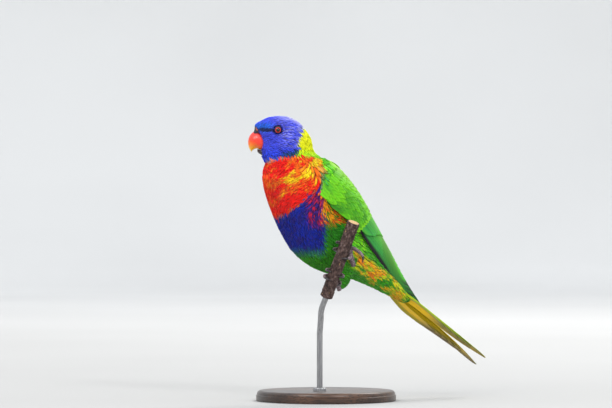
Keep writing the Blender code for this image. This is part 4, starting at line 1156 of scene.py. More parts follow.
for side, word in ((1, "left"), (-1, "right")):
    along = (roots - np.array(WING_ORIGIN)) @ np.array(WING_LINE)
    picked = in_region(f"wing_{word}_coverts") & (along < SKIN_COVERTS_UNTIL)
    behind = smooth_step(along[picked], -4, 8)
    small_feathers(f"wing_{word}_small_coverts", picked, 6.0 + 3.0 * behind, 2.4,
                   0.8 + 0.4 * behind, pale=1.15, yaw=3)

    def wing_place(along, across, sideways, lift, side=side):
        radius = through(WING_ENVELOPE, along / ENVELOPE_STEP)[..., 2:4].mean(-1)
        angle = wing_angle(along, across) + sideways / np.maximum(radius + lift, 3)
        return wing_surface(side, along, angle, lift)

    def covert_place(along, across, sideways, lift, side=side):
        return wing_place(along, across, sideways, lift + far_lift(side, along))

    coverts = []
    for row in range(COVERT_ROWS):
        for k in range(COVERTS_ACROSS):
            share = (k + 0.5 * (row % 2)) / (COVERTS_ACROSS - 0.5)
            share = -0.02 + 1.05 * share + 0.012 * rng.normal()
            start = COVERT_STEP * row * (1 + 0.10 * share) + 0.9 * rng.normal()
            length = COVERT_LENGTH + COVERT_LENGTHENING * row
            root_lift = -1.5 - 1.8 * max(0, 2 - row)
            tip_lift = (0.15 if row > 1 else -1.6 + 0.9 * row) + 0.2 * rng.random()
            shape, u = long_feather(covert_place, (start, share), (start + length, share - 0.01),
                                    COVERT_HALF_WIDTH, (root_lift, tip_lift), 0.6, rows=7,
                                    spots=COVERT_POINTS)
            dark = noise.noise(Vector((start * 0.07, share * 7, 4.0)))
            # Lime is a painted highlight: it lightens the coverts towards the wing's upper edge and a
            # little at their tips.
            colour = blend(WING_GREEN, WING_LIME_HIGHLIGHT, float(smooth_step(share + 0.3 * dark, 0.45, 1.0)))
            low_rear = float(smooth_step(start, 12, 26) * (1 - smooth_step(share, 0.35, 0.6)))
            colour = blend(colour, WING_SHADE, float(np.clip(0.5 * low_rear + 0.8 * dark, 0, 0.8)))
            tone = 0.82 + 0.28 * rng.random()
            coverts.append((shape, u, vane_colours(
                shape, u, colour, colour, blend(colour, WING_LIME_HIGHLIGHT, 0.25), tone,
                spots=COVERT_POINTS)))
    long_feathers(f"wing_{word}_lesser_coverts", coverts, covert_finish,
                  spots=COVERT_POINTS)

    primaries, secondaries = [], []
    for i in range(PRIMARIES):
        share = i / (PRIMARIES - 1)
        tip_at = WING_LENGTH - 1.5 - PRIMARY_SHORTENING * share**0.9
        lifts = (-3.0 + 1.1 * share, -1.5 + 1.5 * share)
        shape, u = long_feather(wing_place, (PRIMARY_ROOT, 0.12 + 0.62 * share),
                                (tip_at, 0.42 + 0.42 * share), PRIMARY_HALF_WIDTH, lifts, 0.42)
        tone = 0.92 + 0.16 * rng.random()
        web = blend(PRIMARY_GREEN, WING_GREEN, share)
        # The lowest primary's lower rim is black and the others' are darker: partly the primaries'
        # own dark webs, partly painted shadow of the gap between the wing and the body.
        rim = PRIMARY_BLACK if i == 0 else blend(web, PRIMARY_BLACK, 0.3)
        tip = PRIMARY_BLACK if i < BLACK_TIPPED else web
        primaries.append((shape, u, vane_colours(shape, u, web, web, tip, tone, 0.86, rim)))
    for i in range(SECONDARIES):
        share = i / (SECONDARIES - 1)
        tip_at = SECONDARY_TIP + 16.0 * share + 1.2 * (i % 2)
        lifts = (-2.2 + 0.5 * share, -0.4 + 0.5 * share)
        shape, u = long_feather(wing_place, (SECONDARY_ROOT, 0.14 + 0.74 * share),
                                (tip_at, 0.26 + 0.66 * share), SECONDARY_HALF_WIDTH, lifts, 0.36)
        web = blend(PRIMARY_GREEN, WING_GREEN, share)
        # The upper secondaries' rims turn lime: a painted highlight.
        rim = blend(web, WING_LIME_HIGHLIGHT, 0.2 + 0.8 * share)
        tone = 0.9 + 0.16 * rng.random()
        secondaries.append((shape, u, vane_colours(
            shape, u, web, blend(web, WING_SHADE, 0.35 * (1 - share)), web, tone, 0.8, rim)))
    for i in range(GREATER_COVERTS):
        share = i / (GREATER_COVERTS - 1)
        shape, u = long_feather(covert_place, (GREATER_ROOT, 0.99 * share),
                                (GREATER_TIP + 7.0 * share, 0.01 + 0.98 * share),
                                GREATER_HALF_WIDTH, (-1.9, -0.15), 0.4)
        tone = 0.9 + 0.18 * rng.random()
        # The upper greater coverts turn lime: a painted highlight.
        web = blend(WING_GREEN, WING_LIME_HIGHLIGHT, float(smooth_step(share, 0.5, 1.0)))
        secondaries.append((shape, u, vane_colours(shape, u, blend(web, WING_SHADE, 0.35), web,
                                                   blend(web, WING_LIME_HIGHLIGHT, 0.3), tone)))
    long_feathers(f"wing_{word}_primary_feathers", primaries, wing_finish,
                  (f"wing_{word}_primaries",))
    long_feathers(f"wing_{word}_secondary_feathers", secondaries, wing_finish,
                  (f"wing_{word}_secondaries",))

# Tail. Twelve feathers on one fan: a long pointed middle pair over five shorter ones each side.
# They are green above. Below they are golden with an olive outer web and browner tips, the brown
# painted shade. Those of the left side have a lime edge, a painted highlight; the right side's,
# painted as in shade, has none.
TAIL_START, TAIL_TIPS = (69.0, 86.2), (134.6, 31.6)
TAIL_ROLL, TAIL_ROOT, TAIL_ROWS = radians(15), -9.0, 34
TAIL_ORIGIN = picture_point(TAIL_START)
TAIL_REACH = (picture_point(TAIL_TIPS) - TAIL_ORIGIN).length
TAIL_LINE = (picture_point(TAIL_TIPS) - TAIL_ORIGIN).normalized()
TAIL_UP_LEVEL = LEFT.cross(TAIL_LINE).normalized()
TAIL_LEFT = LEFT * cos(TAIL_ROLL) + TAIL_UP_LEVEL * sin(TAIL_ROLL)
TAIL_UP = TAIL_UP_LEVEL * cos(TAIL_ROLL) - LEFT * sin(TAIL_ROLL)
TAIL_GREEN, TAIL_GOLD = (104, 186, 14), (255, 205, 0)
TAIL_OLIVE, TAIL_SHADE_BROWN = (176, 160, 30), (122, 106, 84)
# The middle pair's width, how far its tips part and how high it lies
MIDDLE_PAIR = (10.6, 8.6, 0.6)
OUTER_REACH, OUTER_SHORTENING, OUTER_WIDTH = 84.0, 8.0, 11.5
RIGHT_LONGER = 4.5


def tail_feather(side, reach, width, diverge, height, spread=0.0):
    """One feather of the tail: its inner edge keeps to the middle until the tips part."""
    u = np.linspace(0, 1, TAIL_ROWS)
    t = u * 0.995
    full = 0.8 + 0.2 * np.sin(pi * np.minimum(0.9 * t, 0.5))
    ragged = 1 - 0.03 * rng.random(TAIL_ROWS) * (u > 0.3)
    half = width / 2 * full * (1 - t**3.4) ** 0.6 * ragged
    centre = half + 0.12 + diverge * t**4 + spread * np.minimum(u * 3, 1)
    along = TAIL_ROOT + (reach - TAIL_ROOT) * u
    top, under = [], []
    for v in VANE_POINTS:
        lift = height + 0.25 * u - 0.5 * v * v + 0.22 * (1 - u * 0.7) * (v == 0)
        across = side * (centre + v * half)
        place = (np.array(TAIL_ORIGIN) + (along - 0.12 * np.abs(v) * half * u)[:, None] * TAIL_LINE
                 + across[:, None] * np.array(TAIL_LEFT))
        top.append(place + (lift + VANE_TOP)[:, None] * np.array(TAIL_UP))
        under.append(place + (lift - VANE_UNDER)[:, None] * np.array(TAIL_UP))
    ring = top + under[::-1]
    return np.stack(ring if side > 0 else ring[::-1], axis=1), u


tail = []
for side, extra in ((1, 0.0), (-1, RIGHT_LONGER)):
    for i in range(6):
        if i == 0:
            shape, u = tail_feather(side, TAIL_REACH + extra, *MIDDLE_PAIR)
        else:
            shape, u = tail_feather(side, OUTER_REACH - OUTER_SHORTENING * i, OUTER_WIDTH,
                                    6.0 - 0.6 * i, -0.1 - 0.42 * i, 0.6 * i)
        v = np.concatenate([VANE_POINTS, VANE_POINTS[::-1]])
        above = np.arange(len(v)) < len(VANE_POINTS)
        if side < 0:
            v, above = v[::-1], above[::-1]
        far = smooth_step(u, 0.5, 1.0)[:, None, None]
        outer_web = smooth_step(v, -0.05, 0.4)[None, :, None]
        below = linear(TAIL_GOLD) * (1 - outer_web) + linear(TAIL_OLIVE) * outer_web
        # Towards the tips the underside turns browner: painted shade.
        below = (below * (1 - far) + linear(TAIL_SHADE_BROWN) * far * (0.6 + 0.4 * outer_web)
                 + linear(TAIL_OLIVE) * far * 0.4 * (1 - outer_web))
        # Only the left side gets the lime edge: a painted highlight, which the right side, painted as
        # in shade, lacks.
        if side > 0:
            rim = smooth_step(v, 0.55, 0.8)[None, :, None] * (1 - 0.6 * far)
            below = below * (1 - rim) + linear(WING_LIME_HIGHLIGHT) * rim
        green = linear(TAIL_GREEN) * (1 - 0.35 * smooth_step(u, 0.6, 1.0))[:, None]
        webs = (1 - 0.42 * (np.abs(v) < 0.1) - 0.25 * smooth_step(-v, 0.2, 0.5))[None, :, None]
        green = green[:, None, :] * webs
        edged = smooth_step(v, 0.5, 0.9)[None, :, None]
        green = green * (1 - edged) + linear(TAIL_OLIVE) * edged
        colour = np.where(above[None, :, None], green, below)
        tail.append((shape, u, colour * (0.9 + 0.2 * rng.random())))
tail_finish = plumage_finish("tail_vanes", 40.0, 0.15, 0.5, 0.05, 0.00005)
long_feathers("tail_feathers", tail, tail_finish,
              ("tail_middle_left", "tail_middle_right", "tail_outer_left", "tail_outer_right"))

# Eyes. Each is one glassy ball let into the head behind its lids, with a low bulge over the iris.
# It has a black pupil, an orange-red iris that is brightest in its middle, and a dark rim.
BULGE_HALF_ANGLE, BULGE_HEIGHT = radians(37), 0.32
EYE_TONE_REACH = 5.0
EYE_TONES = ((0.0, (2, 2, 3)), (0.325, (3, 2, 3)), (0.345, (200, 50, 24)), (0.38, (246, 58, 16)),
             (0.43, (240, 44, 12)), (0.47, (90, 14, 8)), (0.50, (14, 7, 8)))
eye_finish, tree, shader = shader_material("eye_glass", 0.05, Coat_Weight=0.3,
                                           Coat_Roughness=0.02, Specular_IOR_Level=0.4)
from_axis = node(tree, "ShaderNodeMapping",
                 [("Vector", node(tree, "ShaderNodeTexCoord").outputs["Object"])],
                 Location=(-EYE_X, 0, -EYE_Z), Scale=(1 / MM, 0, 1 / MM)).outputs[0]
outward = vector_maths(tree, "NORMALIZE", from_axis)
rays = node(tree, "ShaderNodeTexNoise", [("Vector", outward)], Scale=11.0, Detail=3.0)
share = maths(tree, "DIVIDE", vector_maths(tree, "LENGTH", from_axis), EYE_TONE_REACH)
rings = speckled(tree, ramp_node(tree, share, EYE_TONES), rays.outputs["Fac"],
                 ((0.35, (150, 130, 120)), (0.6, WHITE)), 0.7)
tree.links.new(rings, shader.inputs["Base Color"])

for side, word in ((-1, "left"), (1, "right")):
    bm = bmesh.new()
    bmesh.ops.create_uvsphere(bm, u_segments=48, v_segments=40, radius=1.0)
    for v in bm.verts:
        tilt = np.arccos(np.clip(v.co.z, -1, 1))
        swell = BULGE_HEIGHT * cos(pi / 2 * min(tilt / BULGE_HALF_ANGLE, 1)) ** 2
        reach = EYE_RADIUS + swell
        v.co = Vector((EYE_X + v.co.x * reach, HEAD_Y + side * (EYE_OUT + v.co.z * reach),
                       EYE_Z + v.co.y * reach)) * MM
    add_piece(f"eyeball_{word}", outward_mesh(f"eyeball_{word}", bm), eye_finish,
              (f"eye_{word}",))

# Bill. Smooth horn: a deep hooked upper half over a short scoop. It is coral red at the base and
# turns orange, then yellow, at the tip, with faint growth lines across it. The scoop's own red is
# painted over near black, as painted shade under the upper half.
CULMEN_START, CULMEN_END = radians(66), radians(235)
CULMEN_RADIUS, CULMEN_GROWTH, CULMEN_FLATTENING = 8.7, 2.7, 1.1
BILL_CENTRE = (-57.2, 222.3)
EDGE_START, EDGE_MIDDLE, BILL_TIP = (-53.6, 214.3), (-60.6, 218.2), (-64.0, 212.9)
BILL_HALF_WIDTH = 6.7
LOWER_BILL_START, LOWER_BILL_END = (-51.6, 212.6), (-58.8, 214.6)
LOWER_BILL_HALF_WIDTH, LOWER_BILL_HALF_DEPTH = 5.2, 2.9
BILL_RINGS, LOWER_BILL_STEPS, BILL_POINTS = 56, 20, 40
BILL_REACH, LOWER_BILL_REACH = 20.0, 8.0
BILL_TONES = ((0.10, (255, 224, 120)), (0.26, (255, 190, 24)), (0.44, (255, 122, 8)),
              (0.62, (255, 60, 22)), (0.82, (250, 56, 46)), (1.0, (236, 22, 8)))
# The scoop's tones are near black: painted shade under the upper half.
LOWER_BILL_SHADE_TONES = ((0.1, (60, 20, 18)), (0.5, (40, 12, 14)), (0.9, (20, 8, 12)))
HORN_RIPPLE, HORN_SCRATCH = 0.12, 0.5
BILL_GROWTH_LINE, BILL_TOP_NARROWING, BILL_KEEL, BILL_EDGE_DIP = 0.05, 0.24, 0.025, 0.5
LOWER_BILL_TAPER, LOWER_BILL_END_DEPTH, LOWER_BILL_EDGE_SHARE = 0.97, 0.35, 0.6


def loft(name, rings, start_pole=None, end_pole=None):
    """A closed surface through rings of equal counts, its ends flat or drawn to a pole."""
    places = [place for ring in rings for place in ring]
    count = len(rings[0])
    faces = quads_between(len(rings), count)
    for first, pole in ((0, start_pole), (len(places) - count, end_pole)):
        ring = [first + i for i in range(count)]
        if pole is None:
            faces.append(ring)
            continue
        faces += [(ring[i], ring[(i + 1) % count], len(places)) for i in range(count)]
        places.append(pole)
    return closed_mesh(name, places, faces)


def bill_rings():
    """Sections from the base to the tip, each between the cutting edge and the culmen."""
    rings = []
    for i in range(BILL_RINGS):
        t = (i / BILL_RINGS) ** 0.9
        angle = CULMEN_START + (CULMEN_END - CULMEN_START) * t
        reach = CULMEN_RADIUS + CULMEN_GROWTH * t - CULMEN_FLATTENING * sin(pi * t**1.7)
        reach += BILL_GROWTH_LINE * sin(pi * i / 2.5)
        outer = Vector((BILL_CENTRE[0] + reach * cos(angle), 0, BILL_CENTRE[1] + reach * sin(angle)))
        edge = [(1 - t) ** 2 * a + 2 * t * (1 - t) * b + t * t * c
                for a, b, c in zip(EDGE_START, EDGE_MIDDLE, BILL_TIP)]
        dip = BILL_EDGE_DIP * sin(pi * min(t / 0.45, 1)) ** 2
        inner = Vector((edge[0], 0, edge[1] - dip))
        middle, across = (outer + inner) / 2, (outer - inner) / 2
        half_width = BILL_HALF_WIDTH * (1 - t**2.2) ** 0.8
        up = across.normalized()
        ring = []
        for k in range(BILL_POINTS):
            a = 2 * pi * k / BILL_POINTS
            narrowing = 1 - BILL_TOP_NARROWING * max(cos(a), 0) ** 1.5
            keel = 1 + BILL_KEEL * max(cos(a), 0) ** 24
            ring.append(middle + Vector((0, HEAD_Y, 0)) + up * across.length * keel * cos(a)
                        + Vector((0, 1, 0)) * half_width * narrowing * sin(a))
        rings.append(ring)
    return rings


def lower_bill_rings():
    rings = []
    for i in range(LOWER_BILL_STEPS + 1):
        t = i / LOWER_BILL_STEPS
        x = LOWER_BILL_START[0] + (LOWER_BILL_END[0] - LOWER_BILL_START[0]) * t
        z = LOWER_BILL_START[1] + (LOWER_BILL_END[1] - LOWER_BILL_START[1]) * t * t
        shrink = sqrt(1 - (LOWER_BILL_TAPER * t) ** 2)
        width = LOWER_BILL_HALF_WIDTH * shrink
        depth = LOWER_BILL_HALF_DEPTH * (LOWER_BILL_END_DEPTH + (1 - LOWER_BILL_END_DEPTH) * shrink)
        rings.append([
            Vector((x, HEAD_Y + width * sin(a),
                    z + depth * cos(a) * (LOWER_BILL_EDGE_SHARE if cos(a) > 0 else 1)))
            for a in (2 * pi * k / BILL_POINTS for k in range(BILL_POINTS))
        ])
    return rings


def horn_finish(name, tip, reach, stops, roughness):
    """Polished horn whose colour runs back from the tip, with faint lines across it."""
    made, tree, shader = shader_material(name, roughness, Coat_Weight=0.35, Coat_Roughness=0.2)
    share = maths(tree, "DIVIDE", distance_from(tree, [c * MM for c in tip]), reach * MM)
    share = maths(tree, "MULTIPLY_ADD", place_noise(tree, 420, 3), HORN_RIPPLE, share)
    scratched = speckled(tree, ramp_node(tree, share, stops),
                         place_noise(tree, 1500, 2, stretch=(1, 0.2, 1)),
                         ((0.35, (205, 205, 205)), (0.65, WHITE)), HORN_SCRATCH)
    tree.links.new(scratched, shader.inputs["Base Color"])
    bump(tree, shader, place_noise(tree, 900, 3, stretch=(1, 0.25, 1)), 0.00008, 0.6)
    return made


bill_tip = (BILL_TIP[0], HEAD_Y, BILL_TIP[1])
lower_bill_tip = (LOWER_BILL_END[0], HEAD_Y, LOWER_BILL_END[1])
upper = loft("upper_bill_horn", bill_rings(), end_pole=bill_tip)
add_piece("upper_bill_horn", upper, horn_finish("bill_horn", bill_tip, BILL_REACH, BILL_TONES, 0.34),
          ("bill_upper",))
lower_finish = horn_finish("lower_bill_horn", lower_bill_tip, LOWER_BILL_REACH, LOWER_BILL_SHADE_TONES,
                           0.45)
add_piece("lower_bill_horn", loft("lower_bill_horn", lower_bill_rings()), lower_finish,
          ("bill_lower",))

# Cere. A low saddle of dark bare skin fills the step between the bill and the forehead. A nostril
# opens on each side of it in an orange-brown patch, its mouth painted near black as shade in the
# pit.
CERE_FRONT, CERE_REAR = (-61.2, 226.6), (-55.6, 226.6)
CERE_HALF_TURN, CERE_TILT, CERE_RISE, CERE_SUNK, CERE_CLIMB = radians(64), 0.3, 1.7, 0.4, 2.6
CERE_STEPS, CERE_TURNS, CERE_LEVELLING = 30, 60, 14
NOSTRIL_TURN, NOSTRIL_SHARE, NOSTRIL_RADIUS, NOSTRIL_DEPTH = radians(40), 0.55, 0.8, 0.7
NOSTRIL_PATCH, NOSTRIL_PIT_SHADE = (206, 104, 60), (20, 9, 8)


def cere_line(share, turn):
    """A place on the saddle's axis and the way out from it, at a turn from upright."""
    axis = Vector((CERE_FRONT[0] + (CERE_REAR[0] - CERE_FRONT[0]) * share, HEAD_Y,
                   CERE_FRONT[1] + (CERE_REAR[1] - CERE_FRONT[1]) * share))
    return axis, Vector((-CERE_TILT * (1 - share), sin(turn), cos(turn))).normalized()


def reach_of_face(axis, out):
    """How far out from an axis place the bill or the skin's surface lies."""
    start = axis + out * 25
    reaches = []
    for tree, scale in ((NODE_TREES["bill_upper"], MM), (skin_tree, 1.0)):
        hit = tree.ray_cast(start * scale, -out)[0]
        reaches.append((hit / scale - axis).dot(out) if hit is not None else 0.0)
    return max(reaches[0], min(reaches[1], reaches[0] + CERE_CLIMB))


def cere_mesh():
    """The saddle's mesh, and the middle of each nostril's mouth on it."""
    reach = np.array([[
        reach_of_face(*cere_line(i / CERE_STEPS, CERE_HALF_TURN * (2 * k / CERE_TURNS - 1)))
        for k in range(CERE_TURNS + 1)] for i in range(CERE_STEPS + 1)])
    for _ in range(CERE_LEVELLING):
        wide = np.pad(reach, 1, mode="edge")
        level = (wide[:-2, 1:-1] + wide[2:, 1:-1] + wide[1:-1, :-2] + wide[1:-1, 2:]) / 4
        reach = np.maximum(reach, level)
    outer, inner = [], []
    for i in range(CERE_STEPS + 1):
        share = i / CERE_STEPS
        for k in range(CERE_TURNS + 1):
            side = 2 * k / CERE_TURNS - 1
            axis, out = cere_line(share, CERE_HALF_TURN * side)
            fade = (1 - abs(2 * share - 1) ** 3) * (1 - abs(side) ** 4)
            place = axis + out * (reach[i, k] + (CERE_RISE + CERE_SUNK) * fade - CERE_SUNK)
            place += out * 0.07 * noise.noise(place * 1.6)
            outer.append(place)
            inner.append(axis + out * (reach[i, k] - CERE_SUNK - 0.7))
    mouths = []
    for side in (-1, 1):
        axis, out = cere_line(NOSTRIL_SHARE, NOSTRIL_TURN * side)
        centre = min(outer, key=lambda p: (p - axis).normalized().angle(out))
        mouths.append(centre.copy())
        for place in outer:
            far = (place - centre).length / NOSTRIL_RADIUS
            pit = max(0.0, 1 - far * far) * NOSTRIL_DEPTH
            place += out * (0.22 * max(0.0, 1 - abs(far - 1.35) / 0.5) - pit)
    count, row = len(outer), CERE_TURNS + 1
    faces = []
    for i in range(CERE_STEPS):
        for k in range(CERE_TURNS):
            a, b, c, d = i * row + k, i * row + k + 1, (i + 1) * row + k + 1, (i + 1) * row + k
            faces += [(a, b, c, d), (a + count, d + count, c + count, b + count)]
    edge = list(range(CERE_TURNS)) + [i * row + CERE_TURNS for i in range(CERE_STEPS)]
    edge += [CERE_STEPS * row + k for k in range(CERE_TURNS, 0, -1)]
    edge += [i * row for i in range(CERE_STEPS, 0, -1)]
    faces += [(a, b, b + count, a + count) for a, b in zip(edge, edge[1:] + edge[:1])]
    return closed_mesh("cere_skin", outer + inner, faces), mouths


def fade_out(tree, distance, full, none):
    """1 up to one distance and 0 beyond another, in millimetres."""
    return node(tree, "ShaderNodeMapRange", [("Value", distance)], From_Min=full * MM,
                From_Max=none * MM, To_Min=1.0, To_Max=0.0).outputs[0]


cere_shape, nostrils = cere_mesh()
cere_finish, tree, shader = shader_material("cere_skin", 0.5, Coat_Weight=0.1)
base = ramp_node(tree, place_noise(tree, 700, 3), ((0.3, (22, 18, 34)), (0.7, (40, 34, 52))))
for mouth in nostrils:
    away = distance_from(tree, mouth * MM)
    base = mixed(tree, base, NOSTRIL_PATCH, fade_out(tree, away, 1.1, 2.0))
    # The nostril's mouth is painted near black: painted shade in the pit.
    base = mixed(tree, base, NOSTRIL_PIT_SHADE, fade_out(tree, away, 0.35, 0.75))
tree.links.new(base, shader.inputs["Base Color"])
bump(tree, shader, place_noise(tree, 1800, 3), 0.0001)
add_piece("cere_skin", cere_shape, cere_finish, ("cere",))

# Perch. A short cut length of rough dark branch: bark with long cracks and small knots, and pale
# sawn ends with rings in the wood.
PERCH_BOTTOM, PERCH_TOP = Vector((0.0, -19.0, 89.4)), Vector((23.2, -37.5, 153.1))
PERCH_RADIUS, PERCH_STEPS, PERCH_SIDES = 5.3, 150, 72
PERCH_LINE = (PERCH_TOP - PERCH_BOTTOM).normalized()
PERCH_LENGTH = (PERCH_TOP - PERCH_BOTTOM).length
PERCH_FRONT = (Vector((0, -1, 0)) - PERCH_LINE * Vector((0, -1, 0)).dot(PERCH_LINE)).normalized()
PERCH_RIGHT = PERCH_FRONT.cross(-PERCH_LINE).normalized()
# Each knot's height on the perch, its turn round it and its size
KNOTS = ((58.0, 2.4, 2.6), (31.0, 0.3, 2.2), (9.0, 1.7, 2.4), (66.0, 5.2, 2.0), (28.0, 2.8, 1.8))
BARK_TONES = ((0.30, (44, 30, 28)), (0.45, (74, 54, 50)), (0.58, (104, 82, 76)),
              (0.72, (150, 134, 132)))
WOOD_TONES, WOOD_RING = ((0.0, (206, 172, 122)), (1.0, (172, 132, 86))), 0.55


def round_perch(height, angle, distance):
    """A place beside the perch: 0 is the picture's right, a quarter turn is towards the viewer."""
    return (PERCH_BOTTOM + PERCH_LINE * height
            + (PERCH_RIGHT * cos(angle) + PERCH_FRONT * sin(angle)) * distance)


CRACK_DEPTH, KNOT_SWELL, KNOT_PIT = 0.6, 0.55, 0.5
PLATES, WORN_PLATES, GRIP_MIDDLE, GRIP_HALF = 0.6, 0.3, 34.0, 24.0


def bark_relief(height, angle):
    """How far the bark stands out or in at a place on the perch."""
    turn = Vector((cos(angle) * 2.2, sin(angle) * 2.2, height * 0.16))
    crack = 1 - abs(noise.noise(turn * 1.5)) * 2
    plates = noise.fractal(Vector((cos(angle) * 3.5, sin(angle) * 3.5, height * 0.5)), 1.0, 2.0, 4)
    rough = PLATES if abs(height - GRIP_MIDDLE) > GRIP_HALF else WORN_PLATES
    relief = rough * plates - CRACK_DEPTH * max(0.0, crack - 0.72) / 0.28
    for at, turned, size in KNOTS:
        across = (angle - turned + pi) % (2 * pi) - pi
        far = sqrt(((height - at) / size) ** 2 + (across * PERCH_RADIUS / size) ** 2)
        relief += KNOT_SWELL * max(0.0, 1 - far) - KNOT_PIT * max(0.0, 1 - far / 0.35)
    return relief


def perch_mesh():
    turns = [2 * pi * k / PERCH_SIDES for k in range(PERCH_SIDES)]
    rings = [[round_perch(0, a, r) for a in turns] for r in (2.0, 3.8)]
    for i in range(PERCH_STEPS + 1):
        height = PERCH_LENGTH * i / PERCH_STEPS
        end = min(height, PERCH_LENGTH - height)
        ring = []
        for k, a in enumerate(turns):
            knobbly = 1 - 0.035 * (1 + sin(3 * a + 0.9 * height * 8 / PERCH_LENGTH)) / 2
            sawn = 0.35 * max(0.0, 1 - end / 0.5) + 0.08 * noise.noise(Vector((k * 0.7, i, 3.0)))
            reach = PERCH_RADIUS * knobbly + 0.1 + bark_relief(height, a) - sawn
            ring.append(round_perch(height, a, reach))
        rings.append(ring)
    rings += [[round_perch(PERCH_LENGTH, a, r) for a in turns] for r in (3.8, 2.0)]
    return loft("perch_bark", rings, round_perch(0, 0, 0), round_perch(PERCH_LENGTH, 0, 0))


bark_finish, tree, shader = shader_material("bark", 0.88)
bark_colour = speckled(tree, ramp_node(tree, place_noise(tree, 260, 5, 0.62), BARK_TONES),
                       place_noise(tree, 900, 4, stretch=(1, 1, 0.25)),
                       ((0.35, (120, 104, 100)), (0.6, WHITE)), 0.85)
from_foot = vector_maths(tree, "SUBTRACT", node(tree, "ShaderNodeTexCoord").outputs["Object"],
                         PERCH_BOTTOM * MM)
from_pith = vector_maths(tree, "LENGTH", vector_maths(tree, "CROSS_PRODUCT", from_foot, PERCH_LINE))
rings = maths(tree, "SINE", maths(tree, "MULTIPLY", from_pith, 2 * pi / (WOOD_RING * MM)))
wood = ramp_node(tree, rings, WOOD_TONES)
tree.links.new(mixed(tree, bark_colour, wood, fade_out(tree, from_pith, 4.5, 4.75)),
               shader.inputs["Base Color"])
bump(tree, shader, place_noise(tree, 1300, 4), 0.0004)
add_piece("perch_bark", perch_mesh(), bark_finish, ("perch_branch",))

# Feet. Grey-pink scaly skin from the feathered thigh to the toes: two toes reach round the front
# of the perch and two round the back, but the left foot's outer back toe points free of it. The
# scales are broad across each toe and small on the shank.
PALM_DISTANCE = 8.6
PALM_SIZES = (2.8, 3.4, 4.6)
TOE_RADIUS, TOE_END_RADIUS, TARSUS_RADIUS = 1.65, 1.2, 2.1
TOE_CLEARANCE, CLAW_LENGTH = 0.5, 6.0
LEFT_FOOT, RIGHT_FOOT = 44.0, 19.0
FOOT_VOXEL, FOOT_SMOOTHING = 0.36, 4
TOE_STEP, CLAW_STEP, SHANK_STEPS, PAD_PITCH = 0.4, 0.35, 30, 4.4
SCUTE_PITCH, SCUTE_HEIGHT = 1.15, 0.13
SCALE_TONES = ((0.15, (62, 50, 56)), (0.5, (134, 116, 122)), (0.85, (182, 168, 172)))
CLAW_TONES, CLAW_REACH = ((0.0, (34, 30, 32)), (0.5, (46, 40, 42)), (1.0, (30, 26, 28))), 400.0


def wrapped_toe(height, start_angle, end_angle, climb):
    """A path from the palm round the perch at the toe's own distance."""
    distance = PERCH_RADIUS + TOE_CLEARANCE + TOE_RADIUS
    path = []
    for t in np.linspace(0, 1, 40):
        angle = radians(start_angle + (end_angle - start_angle) * t)
        near = distance - 0.7 * float(smooth_step(t, 0.6, 1.0))
        path.append(round_perch(height + climb * t, angle, near))
    return np.array(path)


FREE_TOE = through([round_perch(LEFT_FOOT + 2.4 + climb, radians(angle), distance)
                    for climb, angle, distance in (
                        (0.0, 312, 7.6), (1.0, 332, 9.2), (0.2, 344, 13.0), (-1.6, 349, 16.6),
                        (-4.6, 352, 18.6), (-8.0, 353, 18.8))], np.linspace(0, 5, 40))
# For each foot: its palm's height and turn on the perch, its heel, and its toes' paths
FEET = {
    "left": (LEFT_FOOT, 303, (23.0, -16.6, 117.5), {
        "inner_front": wrapped_toe(LEFT_FOOT + 2.4, 290, 138, 3.0),
        "outer_front": wrapped_toe(LEFT_FOOT - 2.6, 290, 122, 1.0),
        "outer_back": FREE_TOE,
        "inner_back": wrapped_toe(LEFT_FOOT - 2.6, 316, 448, -2.6),
    }),
    "right": (RIGHT_FOOT, 268, (10.8, -5.0, 96.8), {
        "inner_front": wrapped_toe(RIGHT_FOOT + 2.5, 256, 116, 2.6),
        "outer_front": wrapped_toe(RIGHT_FOOT - 2.5, 256, 100, 0.6),
        "outer_back": wrapped_toe(RIGHT_FOOT + 2.5, 280, 422, 1.2),
        "inner_back": wrapped_toe(RIGHT_FOOT - 2.5, 280, 404, -2.8),
    }),
}


def resampled(path, start, end, step):
    """Points at equal steps along a path between two distances, with those distances."""
    lengths = np.concatenate([[0], np.cumsum(np.linalg.norm(np.diff(path, axis=0), axis=1))])
    at = np.linspace(start, end, max(3, int((end - start) / step) + 1))
    return np.stack([np.interp(at, lengths, path[:, k]) for k in range(3)], axis=1), at


def path_length(path):
    return np.linalg.norm(np.diff(path, axis=0), axis=1).sum()


def tube_rings(path, radii, points=16):
    """Rings square to a path, turned as little as possible from one to the next."""
    ways = unit(np.gradient(path, axis=0))
    side = unit(np.cross(ways[0], (0.3, 0.2, 1.0)))
    rings = []
    for place, way, radius in zip(path, ways, radii):
        side = unit(side - way * (side @ way))
        other = np.cross(way, side)
        turns = np.linspace(0, 2 * pi, points, endpoint=False)
        rings.append(place + radius * (np.cos(turns)[:, None] * side
                                       + np.sin(turns)[:, None] * other))
    return rings


foot_finish, tree, shader = shader_material("foot_skin", 0.62, Specular_IOR_Level=0.4)
relief = node(tree, "ShaderNodeAttribute", attribute_name="relief").outputs["Fac"]
tree.links.new(speckled(tree, ramp_node(tree, relief, SCALE_TONES), place_noise(tree, 500, 4),
                        ((0.3, (178, 160, 158)), (0.7, WHITE)), 0.8), shader.inputs["Base Color"])
bump(tree, shader, place_noise(tree, 2600, 3), 0.0001)
claw_finish = horn_finish("claw_horn", (0, 0, 0), CLAW_REACH, CLAW_TONES, 0.3)

